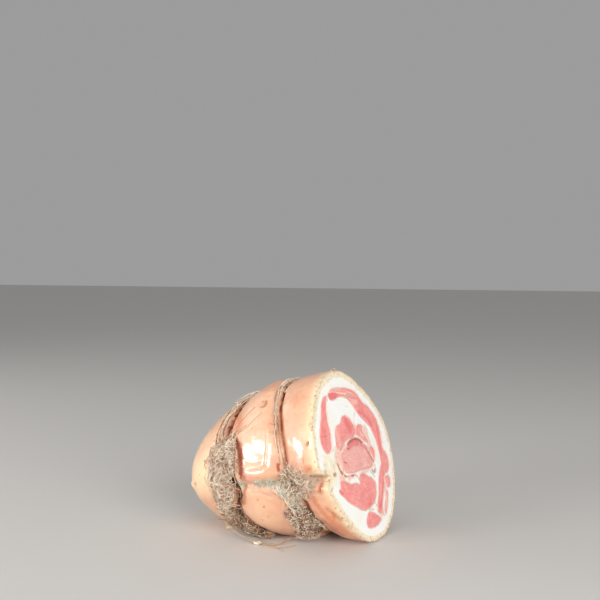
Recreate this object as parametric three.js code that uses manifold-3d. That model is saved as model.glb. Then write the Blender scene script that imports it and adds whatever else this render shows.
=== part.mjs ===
// Half of a rolled, rind-on pancetta, cut across and lying on its side. Millimetres, +Z up.
// The cut end faces +X and leans back a little; the closed, domed end points to -X.
// A place on the body is a depth behind the cut and an angle round the roll.
// Angles start at the far side (+Y), go over the top, and reach the near side (-Y) at 180 degrees.

import * as THREE from 'three';
import { mergeVertices } from 'three/addons/utils/BufferGeometryUtils.js';
import Module from 'manifold-3d';

// Body of the roll: a blunt dome behind a cut that leans back and turns a little to -Y
const rollLength = 131.5;
const cutRadius = 58.5;
const domePower = 2.3;
const domeDrop = 28;
const domeDropPower = 1.38;
const cutLean = 14;
const domeLean = 6;
const cutTurn = 8;
const sectionCentre = [4.6, 0.5];
const cutCentre = [56.5, -3.4, 61.4];

// Lobes of the cut's outline, which fade towards the dome: order, height, direction in degrees
const lobeFade = 0.7;
const lobes = [
  [2, 5.5, 123.7],
  [3, 1.2, 18.5],
  [4, 0.9, 8],
  [5, 0.5, 26.5],
];

// Twine, and the grooves and waists that it presses into the roll
// A ring's path is a list of angle and depth; the string lies just behind its groove
const twineRadius = 0.85;
const strandGap = 0.35;
const clearance = 0.3;
const frontRingPath = [
  [0, 29], [60, 30], [98, 30.8], [112, 32.8], [124, 32.6], [136, 30.8], [148, 28.6], [162, 26.4],
  [178, 26.2], [205, 25], [240, 26], [300, 27.5],
];
const frontRing = { path: frontRingPath, groove: 3, grooveWidth: 2.6, waist: 2.6, waistWidth: 9 };
const backRingPath = [
  [0, 61], [60, 60.5], [90, 61.5], [99, 64.5], [107, 71], [117, 74.4], [128, 77.2], [140, 78.8],
  [154, 78], [170, 75.8], [186, 74], [199, 74.6], [212, 79.4], [226, 83], [245, 81], [290, 70],
];
const backRing = { path: backRingPath, groove: 3.2, grooveWidth: 3, waist: 2.4, waistWidth: 10 };

// Lengthwise seam where the rolled belly closes
const seam = { angle: 188, reach: 74, fade: 8, groove: 3, halfAngle: 5 };
const seamNotch = { deep: 6.5, length: 10, halfAngle: 4 };

// Soft swellings between the strings: depth, angle, height, half length, half angle
const swellings = [
  [59, 222, 4.2, 13, 19],
  [62, 172, 2, 9, 20],
  [50, 181, 4, 18, 8],
  [10, 178, 2.8, 11, 10],
  [46, 80, 1.6, 14, 40],
  [46, 320, 1.6, 14, 40],
  [12, 225, 2.2, 9, 16],
  [100, 165, -1.5, 12, 20],
  [26, 266, -3.2, 8, 26],
  [80, 266, -2.6, 9, 26],
  [5, 268, 1.6, 12, 30],
];
// Fuzzy mould along the seam: depth, angle, half length, half angle
const moulds = [
  [47, 189, 5, 4],
  [41, 196, 5, 6],
  [36, 207, 5, 7],
  [31, 192, 7, 9],
];
const mouldHeight = 1.1;
const mouldGrain = { mean: 0.6, swing: 0.6, alongRoll: 0.9, roundRoll: 0.4 };
// Gentle waves of the whole rind; all relief fades towards the tip
const wave = { height: 0.45, alongRoll: 0.06, roundRoll: 2 };
const reliefFade = 22;
// Gathered nub where the rind closes at the tip of the dome
const nub = { depth: 123, angle: 190, height: 2, width: 3.4 };

// Mesh fineness
const sectors = 64;
const rowsToFrontRing = 7;
const rowsBetweenRings = 12;
const rowsToTip = 15;
const evenRowShare = 0.35;
const ringSearchSteps = 24;
const weldDistance = 0.0001;

// Lean muscles that run from the cut towards the dome, as outlines on the cut's plane
// They shrink a little behind the cut, to stay inside the waists
const leanReach = 92;
const leanTaper = 0.08;
const leanTaperDepth = 26;
const leanStations = [0, 28, 60];
const pocketOvershoot = 3;
const outlineFineness = 1.5;
const sharpestCorner = 0.55;
const leans = {
  lean_outer_band: [
    [-20, 47.2], [-14, 50.4], [-4, 50.2], [8, 48.4], [17, 46], [24, 41.5], [30, 34.8], [38, 29.6],
    [44.5, 22.4], [48.4, 14], [48.6, 5], [47.2, -3], [51.6, -9.6], [51.6, -16.5], [46.5, -21.2],
    [39.6, -22], [36.8, -28.5], [32.2, -34.6], [27.6, -41], [22.6, -46.2], [16.6, -44.4],
    [18, -40.4], [23.6, -33], [27.4, -25.4], [32.4, -18.6], [38, -13.4], [38.8, -3], [37, 7.5],
    [33, 15.4], [26, 21.6], [19, 27.6], [12.4, 35.6], [5, 41.8], [-3, 44], [-12, 43], [-18.2, 43.6],
  ],
  lean_side_strip: [
    [-22.6, 46.6], [-28, 46], [-32.4, 42], [-35, 36], [-39, 29.6], [-43, 22.5], [-43, 15],
    [-39, 9.6], [-34, 9.4], [-30, 13], [-27.8, 20], [-28, 29], [-27, 37], [-25, 41.5],
  ],
  lean_upper: [
    [-22.4, 18], [-18.6, 24], [-11.6, 25.6], [-7.5, 29], [-1.5, 29.6], [4.4, 26], [8, 20.6],
    [7.6, 15], [2.5, 13], [-5, 13.6], [-10.5, 12], [-17, 8.6], [-23, 10.4],
  ],
  lean_upper_right: [
    [10, 17], [13.6, 20.2], [21, 18.6], [19.6, 14.6], [22.6, 10.6], [25, 6.4], [21.5, 6.2],
    [17.4, 9.6], [12.6, 12], [9.8, 13.8],
  ],
  lean_right_strip: [
    [25, 1], [29, 1.4], [32.2, -2.4], [31.4, -6.8], [28.6, -8.8], [26.6, -4.4],
  ],
  core_muscle: [
    [-20, 4.6], [-13, 6.8], [-7, 9.6], [1, 11], [8, 10.4], [14.4, 6.6], [20.6, 2.6], [22.6, -2.6],
    [25.6, -9.2], [23, -12.2], [14, -12.2], [5, -11], [-6, -10.4], [-15, -9], [-20.4, -4.6],
  ],
  lean_lower: [
    [-32.8, -17.6], [-29.8, -16.6], [-28.6, -12.6], [-21.6, -13.4], [-14.6, -17], [-6, -18.2],
    [-1.6, -20.2], [0.4, -14.6], [7, -14.2], [13.6, -17.6], [20, -21], [22.8, -26], [19.6, -33],
    [13, -37.4], [4, -38.8], [-5, -37.8], [-13.5, -33], [-21.5, -28.6], [-28.6, -22.6],
  ],
  lean_bottom: [
    [1.6, -41.6], [7, -42.2], [13, -45.4], [19.4, -50.4], [13, -52.6], [4, -52.6], [-3.4, -50.4],
    [-3.8, -46.8],
  ],
  lean_right_lobe: [
    [41, -24.2], [45.4, -24.2], [47.8, -27.4], [45.4, -31.8], [41, -31.8], [39.4, -28],
  ],
  lean_thin_strip: [
    [37.6, -34.2], [39.6, -35], [36.6, -40.6], [32.4, -46], [28.2, -49], [28.8, -44.4], [33.4, -38.8],
  ],
};

// Matted fibre on the roll, as lumps: depth, angle, half length, half width, height
const wads = {
  fibre_wad_left: [
    [79, 164, 17, 13, 5.6],
    [84.5, 178, 12, 13, 5],
    [88, 196, 11, 13, 3.8],
    [90, 216, 10, 14, 3.2],
    [87, 232, 10, 12, 4.6],
    [80, 241, 11, 9, 9],
    [71, 245, 8, 8, 7.4],
  ],
  fibre_wad_right: [
    [23, 186, 11, 9, 4],
    [16, 190, 8, 8, 2.6],
    [27, 199, 9, 8, 4],
  ],
  fibre_wad_lower: [
    [34, 219, 8.5, 8, 4],
    [31, 232, 12, 10, 3.6],
    [36, 246, 11, 9, 2.8],
  ],
};
const lumpSegments = [12, 9];
const lumpRoughness = 0.07;
const lumpGrain = 5;

// Twine strands: ring, distance behind its groove, extra distance at the left wad, first and last angle
const strands = {
  twine_front_strand_1: [frontRing, 2, 0, -106, 173],
  twine_front_strand_2: [frontRing, 4.1, 0, -106, 173],
  twine_back_strand_1: [backRing, 3, 0.6, -93, 146],
  twine_back_strand_2: [backRing, 5.1, 1.8, -94, 146],
  twine_back_strand_3: [backRing, 7.2, 3.6, -96, 146],
};
const strandStep = 9;
const strandSides = 6;
const fanFromAngle = 60;
const fanToAngle = 140;

// Loose strand of the twine, hanging from the left wad and lying under the roll
const looseRadius = 0.7;
const looseSteps = 30;
const looseSides = 8;
const loosePath = [
  [-36.4, -26.8, 11],
  [-32.2, -30.2, 8.4],
  [-22.7, -32.4, 4.4],
  [-17, -33.8, 2.8],
  [-9, -36, 1.2],
  [-1.5, -36.8, 0.8],
  [6, -36.2, 0.8],
  [10.6, -31.4, 0.9],
  [12.6, -24.2, 1.3],
  [14.2, -19.6, 2],
];

// The surface that the roll lies on: width and thickness of the slab that trims it
const groundSlab = { width: 400, thickness: 60 };

const meatMaterials = {
  rind: { color: 0xe9bf98, roughness: 0.38, metalness: 0 },
  lean: { color: 0xd8707a, roughness: 0.5, metalness: 0 },
  core: { color: 0xdf9aa0, roughness: 0.55, metalness: 0 },
  twine: { color: 0xa89478, roughness: 0.9, metalness: 0 },
  fibre: { color: 0x9c8f7c, roughness: 0.95, metalness: 0 },
};

const wasm = await Module();
wasm.setup();

const radians = THREE.MathUtils.degToRad;

// Bell curve, 1 at the middle
function bell(distance, width) {
  return Math.exp(-((distance / width) ** 2));
}

// Signed angle from one direction to another, in degrees
function turnBetween(angle, reference) {
  return THREE.MathUtils.euclideanModulo(angle - reference + 180, 360) - 180;
}

// Uneven value between -1 and 1 that repeats exactly for the same place
function unevenness(a, b, c) {
  return Math.sin(a * 1.7 + Math.sin(b * 2.3 + c)) * Math.cos(b * 1.3 + Math.sin(c * 1.9 + a));
}

// Closed curve of a ring, with angle along x and depth along y, run over three turns
function ringCurve(path) {
  return new THREE.CatmullRomCurve3(
    [-1, 0, 1].flatMap((turn) =>
      path.map(([angle, depth]) => new THREE.Vector3(angle + 360 * turn, depth, 0))),
  );
}

// Depth of a ring's groove behind the cut, read off its path by angle
function ringDepth(curve, angle) {
  const wanted = THREE.MathUtils.euclideanModulo(angle, 360);
  let low = 0;
  let high = 1;
  for (let i = 0; i < ringSearchSteps; i += 1) {
    const middle = (low + high) / 2;
    if (curve.getPoint(middle).x < wanted) {
      low = middle;
    } else {
      high = middle;
    }
  }
  return curve.getPoint(low).y;
}

const frontCurve = ringCurve(frontRing.path);
const backCurve = ringCurve(backRing.path);
const frontRingDepth = (angle) => ringDepth(frontCurve, angle);
const backRingDepth = (angle) => ringDepth(backCurve, angle);

// Sideways and upward directions of the section plane at a depth
function sectionDirections(share) {
  const lean = radians(cutLean + (domeLean - cutLean) * share);
  const turn = radians(cutTurn * (1 - share));
  const outward = new THREE.Vector3(
    Math.cos(lean) * Math.cos(turn),
    -Math.cos(lean) * Math.sin(turn),
    Math.sin(lean),
  );
  const side = new THREE.Vector3(0, 0, 1).cross(outward).normalize();
  return { outward, side, up: outward.clone().cross(side) };
}

function sectionMiddle(depth) {
  const share = depth / rollLength;
  const { side, up } = sectionDirections(0);
  const drop = share > 0 ? domeDrop * share ** domeDropPower : 0;
  return new THREE.Vector3(...cutCentre)
    .addScaledVector(side, sectionCentre[0])
    .addScaledVector(up, sectionCentre[1])
    .add(new THREE.Vector3(-depth, 0, -drop));
}

// Mean radius of the roll at a depth, before strings and swellings
function profileRadius(depth) {
  const share = THREE.MathUtils.clamp(depth / rollLength, 0, 1);
  return cutRadius * Math.sqrt(1 - share ** domePower);
}

// Dents and swellings of the rind, in millimetres outward
function relief(depth, angle) {
  const fromFront = depth - frontRingDepth(angle);
  const fromBack = depth - backRingDepth(angle);
  let height = -frontRing.waist * bell(fromFront, frontRing.waistWidth);
  height -= frontRing.groove * bell(fromFront, frontRing.grooveWidth);
  height -= backRing.waist * bell(fromBack, backRing.waistWidth);
  height -= backRing.groove * bell(fromBack, backRing.grooveWidth);
  const fromSeam = turnBetween(angle, seam.angle);
  const seamFade = THREE.MathUtils.smoothstep(seam.reach - depth, 0, seam.fade);
  height -= seam.groove * seamFade * bell(fromSeam, seam.halfAngle);
  height -= seamNotch.deep * bell(fromSeam, seamNotch.halfAngle) * bell(depth, seamNotch.length);
  for (const [atDepth, atAngle, rise, halfLength, halfAngle] of swellings) {
    height += rise * bell(depth - atDepth, halfLength) * bell(turnBetween(angle, atAngle), halfAngle);
  }
  for (const [atDepth, atAngle, halfLength, halfAngle] of moulds) {
    const cover = bell(depth - atDepth, halfLength) * bell(turnBetween(angle, atAngle), halfAngle);
    const grain = unevenness(depth * mouldGrain.alongRoll, angle * mouldGrain.roundRoll, 1);
    height += mouldHeight * cover * (mouldGrain.mean + mouldGrain.swing * grain);
  }
  const across = Math.sin(radians(angle)) * wave.roundRoll;
  const along = Math.cos(radians(angle)) * wave.roundRoll;
  height += wave.height * unevenness(depth * wave.alongRoll, across, along);
  return height * THREE.MathUtils.smoothstep(rollLength - depth, 0, reliefFade);
}

function bodyRadius(depth, angle) {
  const share = THREE.MathUtils.clamp(depth / rollLength, 0, 1);
  const mean = profileRadius(depth);
  let lobe = 0;
  for (const [order, height, direction] of lobes) {
    lobe += height * Math.cos(order * radians(angle - direction));
  }
  lobe *= (1 - share) ** lobeFade;
  return mean * (1 + lobe / cutRadius) + relief(depth, angle);
}

// Point at a depth, an angle and a distance from the middle line
function rollPoint(depth, angle, radius) {
  const { side, up } = sectionDirections(THREE.MathUtils.clamp(depth / rollLength, 0, 1));
  const middle = sectionMiddle(depth);
  middle.addScaledVector(side, radius * Math.cos(radians(angle)));
  return middle.addScaledVector(up, radius * Math.sin(radians(angle)));
}

// Shares of a stretch, closer together at both ends: the mean of even and cosine steps
function easedShares(count) {
  return Array.from({ length: count }, (_, i) => {
    const even = i / count;
    const eased = (1 - Math.cos(Math.PI * even)) / 2;
    return (even + eased) / 2;
  });
}

// Depths of the mesh rows at an angle: they follow both strings round the roll
function rowDepths(angle) {
  const front = frontRingDepth(angle);
  const back = backRingDepth(angle);
  const rows = easedShares(rowsToFrontRing).map((share) => share * front);
  rows.push(...easedShares(rowsBetweenRings).map((share) => front + share * (back - front)));
  for (let i = 0; i < rowsToTip; i += 1) {
    const even = i / rowsToTip;
    const bend = Math.sin(even * (Math.PI / 2));
    const blended = evenRowShare * even + (1 - evenRowShare) * bend;
    rows.push(back + (rollLength - back) * blended);
  }
  return rows;
}

// Height of the faceted rind between its mesh rows
function facetRadius(depth, angle) {
  const rows = rowDepths(angle);
  const next = rows.findIndex((row) => row > depth);
  if (next <= 0) {
    return bodyRadius(depth, angle);
  }
  const before = rows[next - 1];
  const share = (depth - before) / (rows[next] - before);
  const low = bodyRadius(before, angle);
  return low + share * (bodyRadius(rows[next], angle) - low);
}

// Closed mesh through rings of points, each ring with the same count, capped by one point at each end
function skinRings(rings, startPoint, endPoint) {
  const positions = [];
  const faces = [];
  const count = rings[0].length;
  for (const ring of rings) {
    for (const point of ring) {
      positions.push(point.x, point.y, point.z);
    }
  }
  positions.push(startPoint.x, startPoint.y, startPoint.z, endPoint.x, endPoint.y, endPoint.z);
  const startIndex = rings.length * count;
  const endIndex = startIndex + 1;
  const lastRing = (rings.length - 1) * count;
  for (let j = 0; j < count; j += 1) {
    const k = (j + 1) % count;
    faces.push(startIndex, j, k);
    faces.push(endIndex, lastRing + k, lastRing + j);
    for (let i = 0; i < rings.length - 1; i += 1) {
      const here = i * count;
      const there = here + count;
      faces.push(here + j, there + j, there + k);
      faces.push(here + j, there + k, here + k);
    }
  }
  const geometry = new THREE.BufferGeometry();
  geometry.setAttribute('position', new THREE.Float32BufferAttribute(positions, 3));
  geometry.setIndex(faces);
  return geometry;
}

// Rind surface, moved outward by a margin
function bodyGeometry(margin) {
  const columns = Array.from({ length: sectors }, (_, j) => seam.angle + (j / sectors) * 360);
  const depths = columns.map((angle) => rowDepths(angle));
  const nubPlace = rollPoint(nub.depth, nub.angle, bodyRadius(nub.depth, nub.angle));
  const rings = depths[0].map((_, i) =>
    columns.map((angle, j) => {
      const depth = i === 0 ? -margin : depths[j][i];
      const point = rollPoint(depth, angle, bodyRadius(depths[j][i], angle) + margin);
      point.x -= nub.height * bell(point.distanceTo(nubPlace), nub.width);
      return point;
    }));
  return skinRings(rings, rollPoint(-margin, 0, 0), rollPoint(rollLength + margin, 0, 0));
}

function toSolid(geometry) {
  const bare = geometry.clone();
  bare.deleteAttribute('normal');
  bare.deleteAttribute('uv');
  const merged = mergeVertices(bare, weldDistance);
  return new wasm.Manifold(new wasm.Mesh({
    numProp: 3,
    vertProperties: merged.attributes.position.array,
    triVerts: Uint32Array.from(merged.index.array),
  }));
}

function toGeometry(solid) {
  const mesh = solid.getMesh();
  const geometry = new THREE.BufferGeometry();
  const positions = new Float32Array((mesh.vertProperties.length / mesh.numProp) * 3);
  for (let i = 0; i < positions.length / 3; i += 1) {
    for (let axis = 0; axis < 3; axis += 1) {
      positions[3 * i + axis] = mesh.vertProperties[mesh.numProp * i + axis];
    }
  }
  geometry.setAttribute('position', new THREE.BufferAttribute(positions, 3));
  geometry.setIndex(Array.from(mesh.triVerts));
  geometry.computeVertexNormals();
  return geometry;
}

// Outline of a muscle at a depth, drawn towards the middle line as the roll narrows
function leanRing(outline, depth, grow) {
  const taper = 1 - leanTaper * THREE.MathUtils.smoothstep(depth, 0, leanTaperDepth);
  const scale = (profileRadius(depth) / cutRadius) * taper;
  const { side: sideways, up } = sectionDirections(THREE.MathUtils.clamp(depth / rollLength, 0, 1));
  const middle = sectionMiddle(depth);
  return outline.map((point, i) => {
    const before = outline[(i + outline.length - 1) % outline.length];
    const after = outline[(i + 1) % outline.length];
    const along = after.clone().sub(before).normalize();
    const edge = point.clone().sub(before).normalize();
    const reach = grow / Math.max(along.dot(edge), sharpestCorner);
    const away = new THREE.Vector2(-along.y * reach, along.x * reach);
    const across = (point.x - sectionCentre[0]) * scale + away.x;
    const height = (point.y - sectionCentre[1]) * scale + away.y;
    return middle.clone().addScaledVector(sideways, across).addScaledVector(up, height);
  });
}

// Muscle from the cut to its blunt inner end; grow widens it into the pocket that holds it
function leanGeometry(corners, grow) {
  const curve = new THREE.CatmullRomCurve3(
    corners.map(([x, y]) => new THREE.Vector3(x, y, 0)), true, 'centripetal');
  const outline = curve.getPoints(Math.round(corners.length * outlineFineness)).slice(0, -1)
    .map((point) => new THREE.Vector2(point.x, point.y));
  const shape = THREE.ShapeUtils.area(outline) > 0 ? outline.reverse() : outline;
  const depths = [...leanStations, leanReach + grow];
  if (grow > 0) {
    depths.unshift(-pocketOvershoot);
  }
  const rings = depths.map((depth) => leanRing(shape, depth, grow));
  return capByTriangles(rings, shape);
}

// Closed mesh through rings whose two flat ends are filled with the triangles of the outline
function capByTriangles(rings, shape) {
  const count = shape.length;
  const positions = [];
  const faces = [];
  for (const ring of rings) {
    for (const point of ring) {
      positions.push(point.x, point.y, point.z);
    }
  }
  const last = (rings.length - 1) * count;
  for (const [a, b, c] of THREE.ShapeUtils.triangulateShape(shape, [])) {
    faces.push(a, b, c);
    faces.push(last + a, last + c, last + b);
  }
  for (let i = 0; i < rings.length - 1; i += 1) {
    for (let j = 0; j < count; j += 1) {
      const k = (j + 1) % count;
      const here = i * count;
      const there = here + count;
      faces.push(here + j, here + k, there + k);
      faces.push(here + j, there + k, there + j);
    }
  }
  const geometry = new THREE.BufferGeometry();
  geometry.setAttribute('position', new THREE.Float32BufferAttribute(positions, 3));
  geometry.setIndex(faces);
  return geometry;
}

// Round strand along a path
function strandGeometry(points, radius, steps, sides) {
  const section = new THREE.Shape();
  for (let i = 0; i < sides; i += 1) {
    const angle = (i / sides) * Math.PI * 2;
    section.lineTo(radius * Math.cos(angle), radius * Math.sin(angle));
  }
  return new THREE.ExtrudeGeometry(section, {
    steps,
    extrudePath: new THREE.CatmullRomCurve3(points),
    bevelEnabled: false,
  });
}

// Strand that lies behind a ring's groove; it may fan out towards the left wad
function ringStrand(ring, offset, fan, fromAngle, toAngle) {
  const curve = ring === frontRing ? frontCurve : backCurve;
  const count = Math.round((toAngle - fromAngle) / strandStep);
  const points = Array.from({ length: count + 1 }, (_, i) => {
    const angle = fromAngle + ((toAngle - fromAngle) * i) / count;
    const spread = fan * THREE.MathUtils.smoothstep(angle, fanFromAngle, fanToAngle);
    const depth = ringDepth(curve, angle) + offset + spread;
    const ground = Math.max(
      facetRadius(depth - twineRadius, angle),
      facetRadius(depth, angle),
      facetRadius(depth + twineRadius, angle),
    );
    return rollPoint(depth, angle, ground + twineRadius + strandGap);
  });
  return strandGeometry(points, twineRadius, count, strandSides);
}

// Rough lump that follows the rind, half sunk in it until it is trimmed
function lumpSolid([depth, angle, halfLength, halfWidth, height], seed) {
  const sphere = new THREE.SphereGeometry(1, lumpSegments[0], lumpSegments[1]);
  const places = sphere.attributes.position;
  const ground = bodyRadius(depth, angle);
  for (let i = 0; i < places.count; i += 1) {
    const x = places.getX(i);
    const y = places.getY(i);
    const z = places.getZ(i);
    const grain = unevenness(x * lumpGrain + seed, y * lumpGrain, z * lumpGrain + seed);
    const rough = 1 + lumpRoughness * grain;
    const atDepth = depth + x * halfLength * rough;
    const atAngle = angle + THREE.MathUtils.radToDeg((y * halfWidth * rough) / ground);
    const point = rollPoint(atDepth, atAngle, bodyRadius(atDepth, atAngle) + z * height * rough);
    places.setXYZ(i, point.x, point.y, point.z);
  }
  const solid = toSolid(sphere);
  return solid.volume() > 0 ? solid : toSolid(flipped(sphere));
}

function flipped(geometry) {
  const turned = geometry.clone();
  const order = Array.from(turned.index.array);
  for (let i = 0; i < order.length; i += 3) {
    [order[i], order[i + 1]] = [order[i + 1], order[i]];
  }
  turned.setIndex(order);
  return turned;
}

// Everything below the surface that the roll lies on
function belowGround() {
  const slab = new THREE.BoxGeometry(groundSlab.width, groundSlab.width, groundSlab.thickness);
  slab.translate(0, 0, -groundSlab.thickness / 2);
  return toSolid(slab);
}

const group = new THREE.Group();

function addNode(name, geometry, material) {
  const mesh = new THREE.Mesh(geometry, new THREE.MeshStandardMaterial(meatMaterials[material]));
  mesh.name = name;
  group.add(mesh);
}

const ground = belowGround();
let body = toSolid(bodyGeometry(0)).subtract(ground);
for (const outline of Object.values(leans)) {
  body = body.subtract(toSolid(leanGeometry(outline, clearance)));
}
addNode('rind_and_fat', toGeometry(body), 'rind');

for (const [name, outline] of Object.entries(leans)) {
  const geometry = leanGeometry(outline, 0);
  addNode(name, toGeometry(toSolid(geometry)), name === 'core_muscle' ? 'core' : 'lean');
}

const skinWithGap = toSolid(bodyGeometry(clearance));
for (const [name, lumps] of Object.entries(wads)) {
  const solids = lumps.map((lump, i) => lumpSolid(lump, i + name.length));
  const joined = solids.reduce((all, solid) => all.add(solid));
  addNode(name, toGeometry(joined.subtract(skinWithGap).subtract(ground)), 'fibre');
}

for (const [name, strand] of Object.entries(strands)) {
  addNode(name, toGeometry(toSolid(ringStrand(...strand))), 'twine');
}

const loosePoints = loosePath.map((point) => new THREE.Vector3(...point));
addNode('twine_loose_strand', strandGeometry(loosePoints, looseRadius, looseSteps, looseSides), 'twine');

export default group;
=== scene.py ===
import math

import bpy
import numpy as np
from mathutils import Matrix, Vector
from mathutils.geometry import delaunay_2d_cdt


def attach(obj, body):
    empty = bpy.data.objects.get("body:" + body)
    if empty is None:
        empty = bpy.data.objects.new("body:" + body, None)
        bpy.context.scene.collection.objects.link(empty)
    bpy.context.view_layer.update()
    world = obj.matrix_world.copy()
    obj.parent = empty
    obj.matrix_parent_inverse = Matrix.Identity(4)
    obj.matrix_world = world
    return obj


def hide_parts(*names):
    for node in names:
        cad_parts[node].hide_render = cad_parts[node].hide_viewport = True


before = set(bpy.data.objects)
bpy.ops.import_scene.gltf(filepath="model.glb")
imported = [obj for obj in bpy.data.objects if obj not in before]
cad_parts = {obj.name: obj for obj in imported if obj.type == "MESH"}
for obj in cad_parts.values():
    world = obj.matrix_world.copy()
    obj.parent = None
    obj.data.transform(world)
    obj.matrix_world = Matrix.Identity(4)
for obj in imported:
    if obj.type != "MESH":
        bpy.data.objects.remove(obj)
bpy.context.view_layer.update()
metre = 0.001  # shapes below are worked out in millimetres


def addObject(name, data):
    item = bpy.data.objects.new(name, data)
    bpy.context.scene.collection.objects.link(item)
    return item


# camera at the photo's angle
camera = {"place": (0.24017, -0.56868, 0.19862), "turn": (87.575, 0.0, 21.81), "lens": 50.0, "sensor": 36.0}

cameraData = bpy.data.cameras.new("camera")
cameraData.lens = camera["lens"]
cameraData.sensor_width = camera["sensor"]
cameraObject = addObject("camera", cameraData)
cameraObject.location = camera["place"]
cameraObject.rotation_euler = [math.radians(turn) for turn in camera["turn"]]
bpy.context.scene.camera = cameraObject
print("camera placed")


scramble = (374761393, 668265263, 1274126177, 69069)  # large odd numbers for x, y, z and the seed
lastBit = 0x7FFFFFFF


# soft value noise between -1 and 1, the same for the same place
def softNoise(place, size, seed=0):
    cell = np.asarray(place, float) / size + seed * 17.31
    low = np.floor(cell).astype(np.int64)
    part = cell - low
    part = part * part * part * (part * (part * 6 - 15) + 10)
    total = np.zeros(cell.shape[:-1])
    for corner in range(8):
        step = np.array([corner & 1, corner >> 1 & 1, corner >> 2 & 1])
        spot = low + step
        mixed = sum(spot[..., axis] * scramble[axis] for axis in range(3)) + seed * scramble[3]
        mixed = (mixed & lastBit) ^ ((mixed & lastBit) >> 13)
        mixed = (mixed * 1103515245) & lastBit
        mixed = mixed ^ (mixed >> 16)
        weight = np.prod(np.where(step, part, 1 - part), axis=-1)
        total += weight * (mixed / (lastBit // 2) - 1)
    return total


def layeredNoise(place, size, seed=0, layers=3):
    total = 0
    for layer in range(layers):
        total = total + softNoise(place, size / 2**layer, seed + layer) / 2**layer
    return total / 1.6


def bell(distance, width):
    return np.exp(-((distance / width) ** 2))


def ease(value, low, high):
    share = np.clip((value - low) / (high - low), 0, 1)
    return share * share * (3 - 2 * share)


def turnBetween(angle, reference):
    return (angle - reference + 180) % 360 - 180


# share of a soft patch on the roll, 1 in its middle
def patchShare(depth, angle, atDepth, atAngle, halfLength, halfAngle):
    return bell(depth - atDepth, halfLength) * bell(turnBetween(angle, atAngle), halfAngle)


def unevenness(a, b, c):
    return np.sin(a * 1.7 + np.sin(b * 2.3 + c)) * np.cos(b * 1.3 + np.sin(c * 1.9 + a))


# centripetal rounded curve through points, a few places per span
def roundedCurve(points, perSpan, closed=False):
    corners = np.array(points, float)
    if closed:
        corners = np.vstack([corners[-1:], corners, corners[:2]])
    else:
        corners = np.vstack([2 * corners[0] - corners[1], corners, 2 * corners[-1] - corners[-2]])
    places = []
    for i in range(1, len(corners) - 2):
        before, start, end, after = corners[i - 1:i + 3]
        gaps = [max(np.linalg.norm(run), 1e-6) ** 0.5 for run in (start - before, end - start, after - end)]
        leave = (start - before) / gaps[0] - (end - before) / (gaps[0] + gaps[1]) + (end - start) / gaps[1]
        arrive = (end - start) / gaps[1] - (after - start) / (gaps[1] + gaps[2]) + (after - end) / gaps[2]
        leave, arrive = leave * gaps[1], arrive * gaps[1]
        for t in np.arange(perSpan) / perSpan:
            places.append(
                start + leave * t + (3 * (end - start) - 2 * leave - arrive) * t**2
                + (2 * (start - end) + leave + arrive) * t**3)
    if not closed:
        places.append(corners[-2])
    return np.array(places)


# same curve with places at even distances
def evenCurve(points, spacing, closed=False):
    fine = roundedCurve(points, 24, closed)
    if closed:
        fine = np.vstack([fine, fine[:1]])
    along = np.r_[0, np.cumsum(np.linalg.norm(np.diff(fine, axis=0), axis=1))]
    count = max(int(round(along[-1] / spacing)), 3)
    stops = np.linspace(0, along[-1], count + 1)
    even = np.stack([np.interp(stops, along, fine[:, axis]) for axis in range(fine.shape[1])], axis=1)
    return even[:-1] if closed else even


# body of the roll, as in the CAD part: depth behind the cut and angle round the roll
roll = {
    "length": 131.5,
    "radius": 58.5,
    "power": 2.3,
    "drop": 28.0,
    "dropPower": 1.38,
    "cutLean": 14.0,
    "tipLean": 6.0,
    "cutTurn": 8.0,
    "section": (4.6, 0.5),
    "cutCentre": np.array([56.5, -3.4, 61.4]),
    "lobes": [(2, 5.5, 123.7), (3, 1.2, 18.5), (4, 0.9, 8.0), (5, 0.5, 26.5)],
    "ripple": 0.45,
    "calmTip": 22.0,
}
frontRing = {
    "path": [(0, 29), (60, 30), (98, 30.8), (112, 32.8), (124, 32.6), (136, 30.8), (148, 28.6), (162, 26.4),
             (178, 26.2), (205, 25), (240, 26), (300, 27.5)],
    "groove": 3.0, "grooveWidth": 2.6, "waist": 2.6, "waistWidth": 9.0,
}
backRing = {
    "path": [(0, 61), (60, 60.5), (90, 61.5), (99, 64.5), (107, 71), (117, 74.4), (128, 77.2), (140, 78.8),
             (154, 78), (170, 75.8), (186, 74), (199, 74.6), (212, 79.4), (226, 83), (245, 81), (290, 70)],
    "groove": 3.2, "grooveWidth": 3.0, "waist": 2.4, "waistWidth": 10.0,
}
seam = {"angle": 188.0, "reach": 74.0, "fade": 8.0, "groove": 3.0, "halfAngle": 5.0}
seamNotch = {"deep": 6.5, "length": 10.0, "halfAngle": 4.0}
swellings = [  # depth, angle, half length, half angle, rise
    (59, 222, 13, 19, 4.2), (62, 172, 9, 20, 2.0), (50, 181, 18, 8, 4.0), (10, 178, 11, 10, 2.8),
    (46, 80, 14, 40, 1.6), (46, 320, 14, 40, 1.6), (12, 225, 9, 16, 2.2), (100, 165, 12, 20, -1.5),
    (26, 266, 8, 26, -3.2), (80, 266, 9, 26, -2.6), (5, 268, 12, 30, 1.6),
]
mouldRise = 1.1
moulds = [(47, 189, 5, 4), (41, 196, 5, 6), (36, 207, 5, 7), (31, 192, 7, 9)]  # laid out as the swellings
nub = {"depth": 123.0, "angle": 190.0, "height": 2.0, "width": 3.4}

for ring in (frontRing, backRing):
    turns = [(angle + 360 * turn, depth) for turn in (-1, 0, 1) for angle, depth in ring["path"]]
    ring["curve"] = roundedCurve(turns, 40)


def ringDepth(ring, angle):
    return np.interp(np.asarray(angle, float) % 360, ring["curve"][:, 0], ring["curve"][:, 1])


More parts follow.
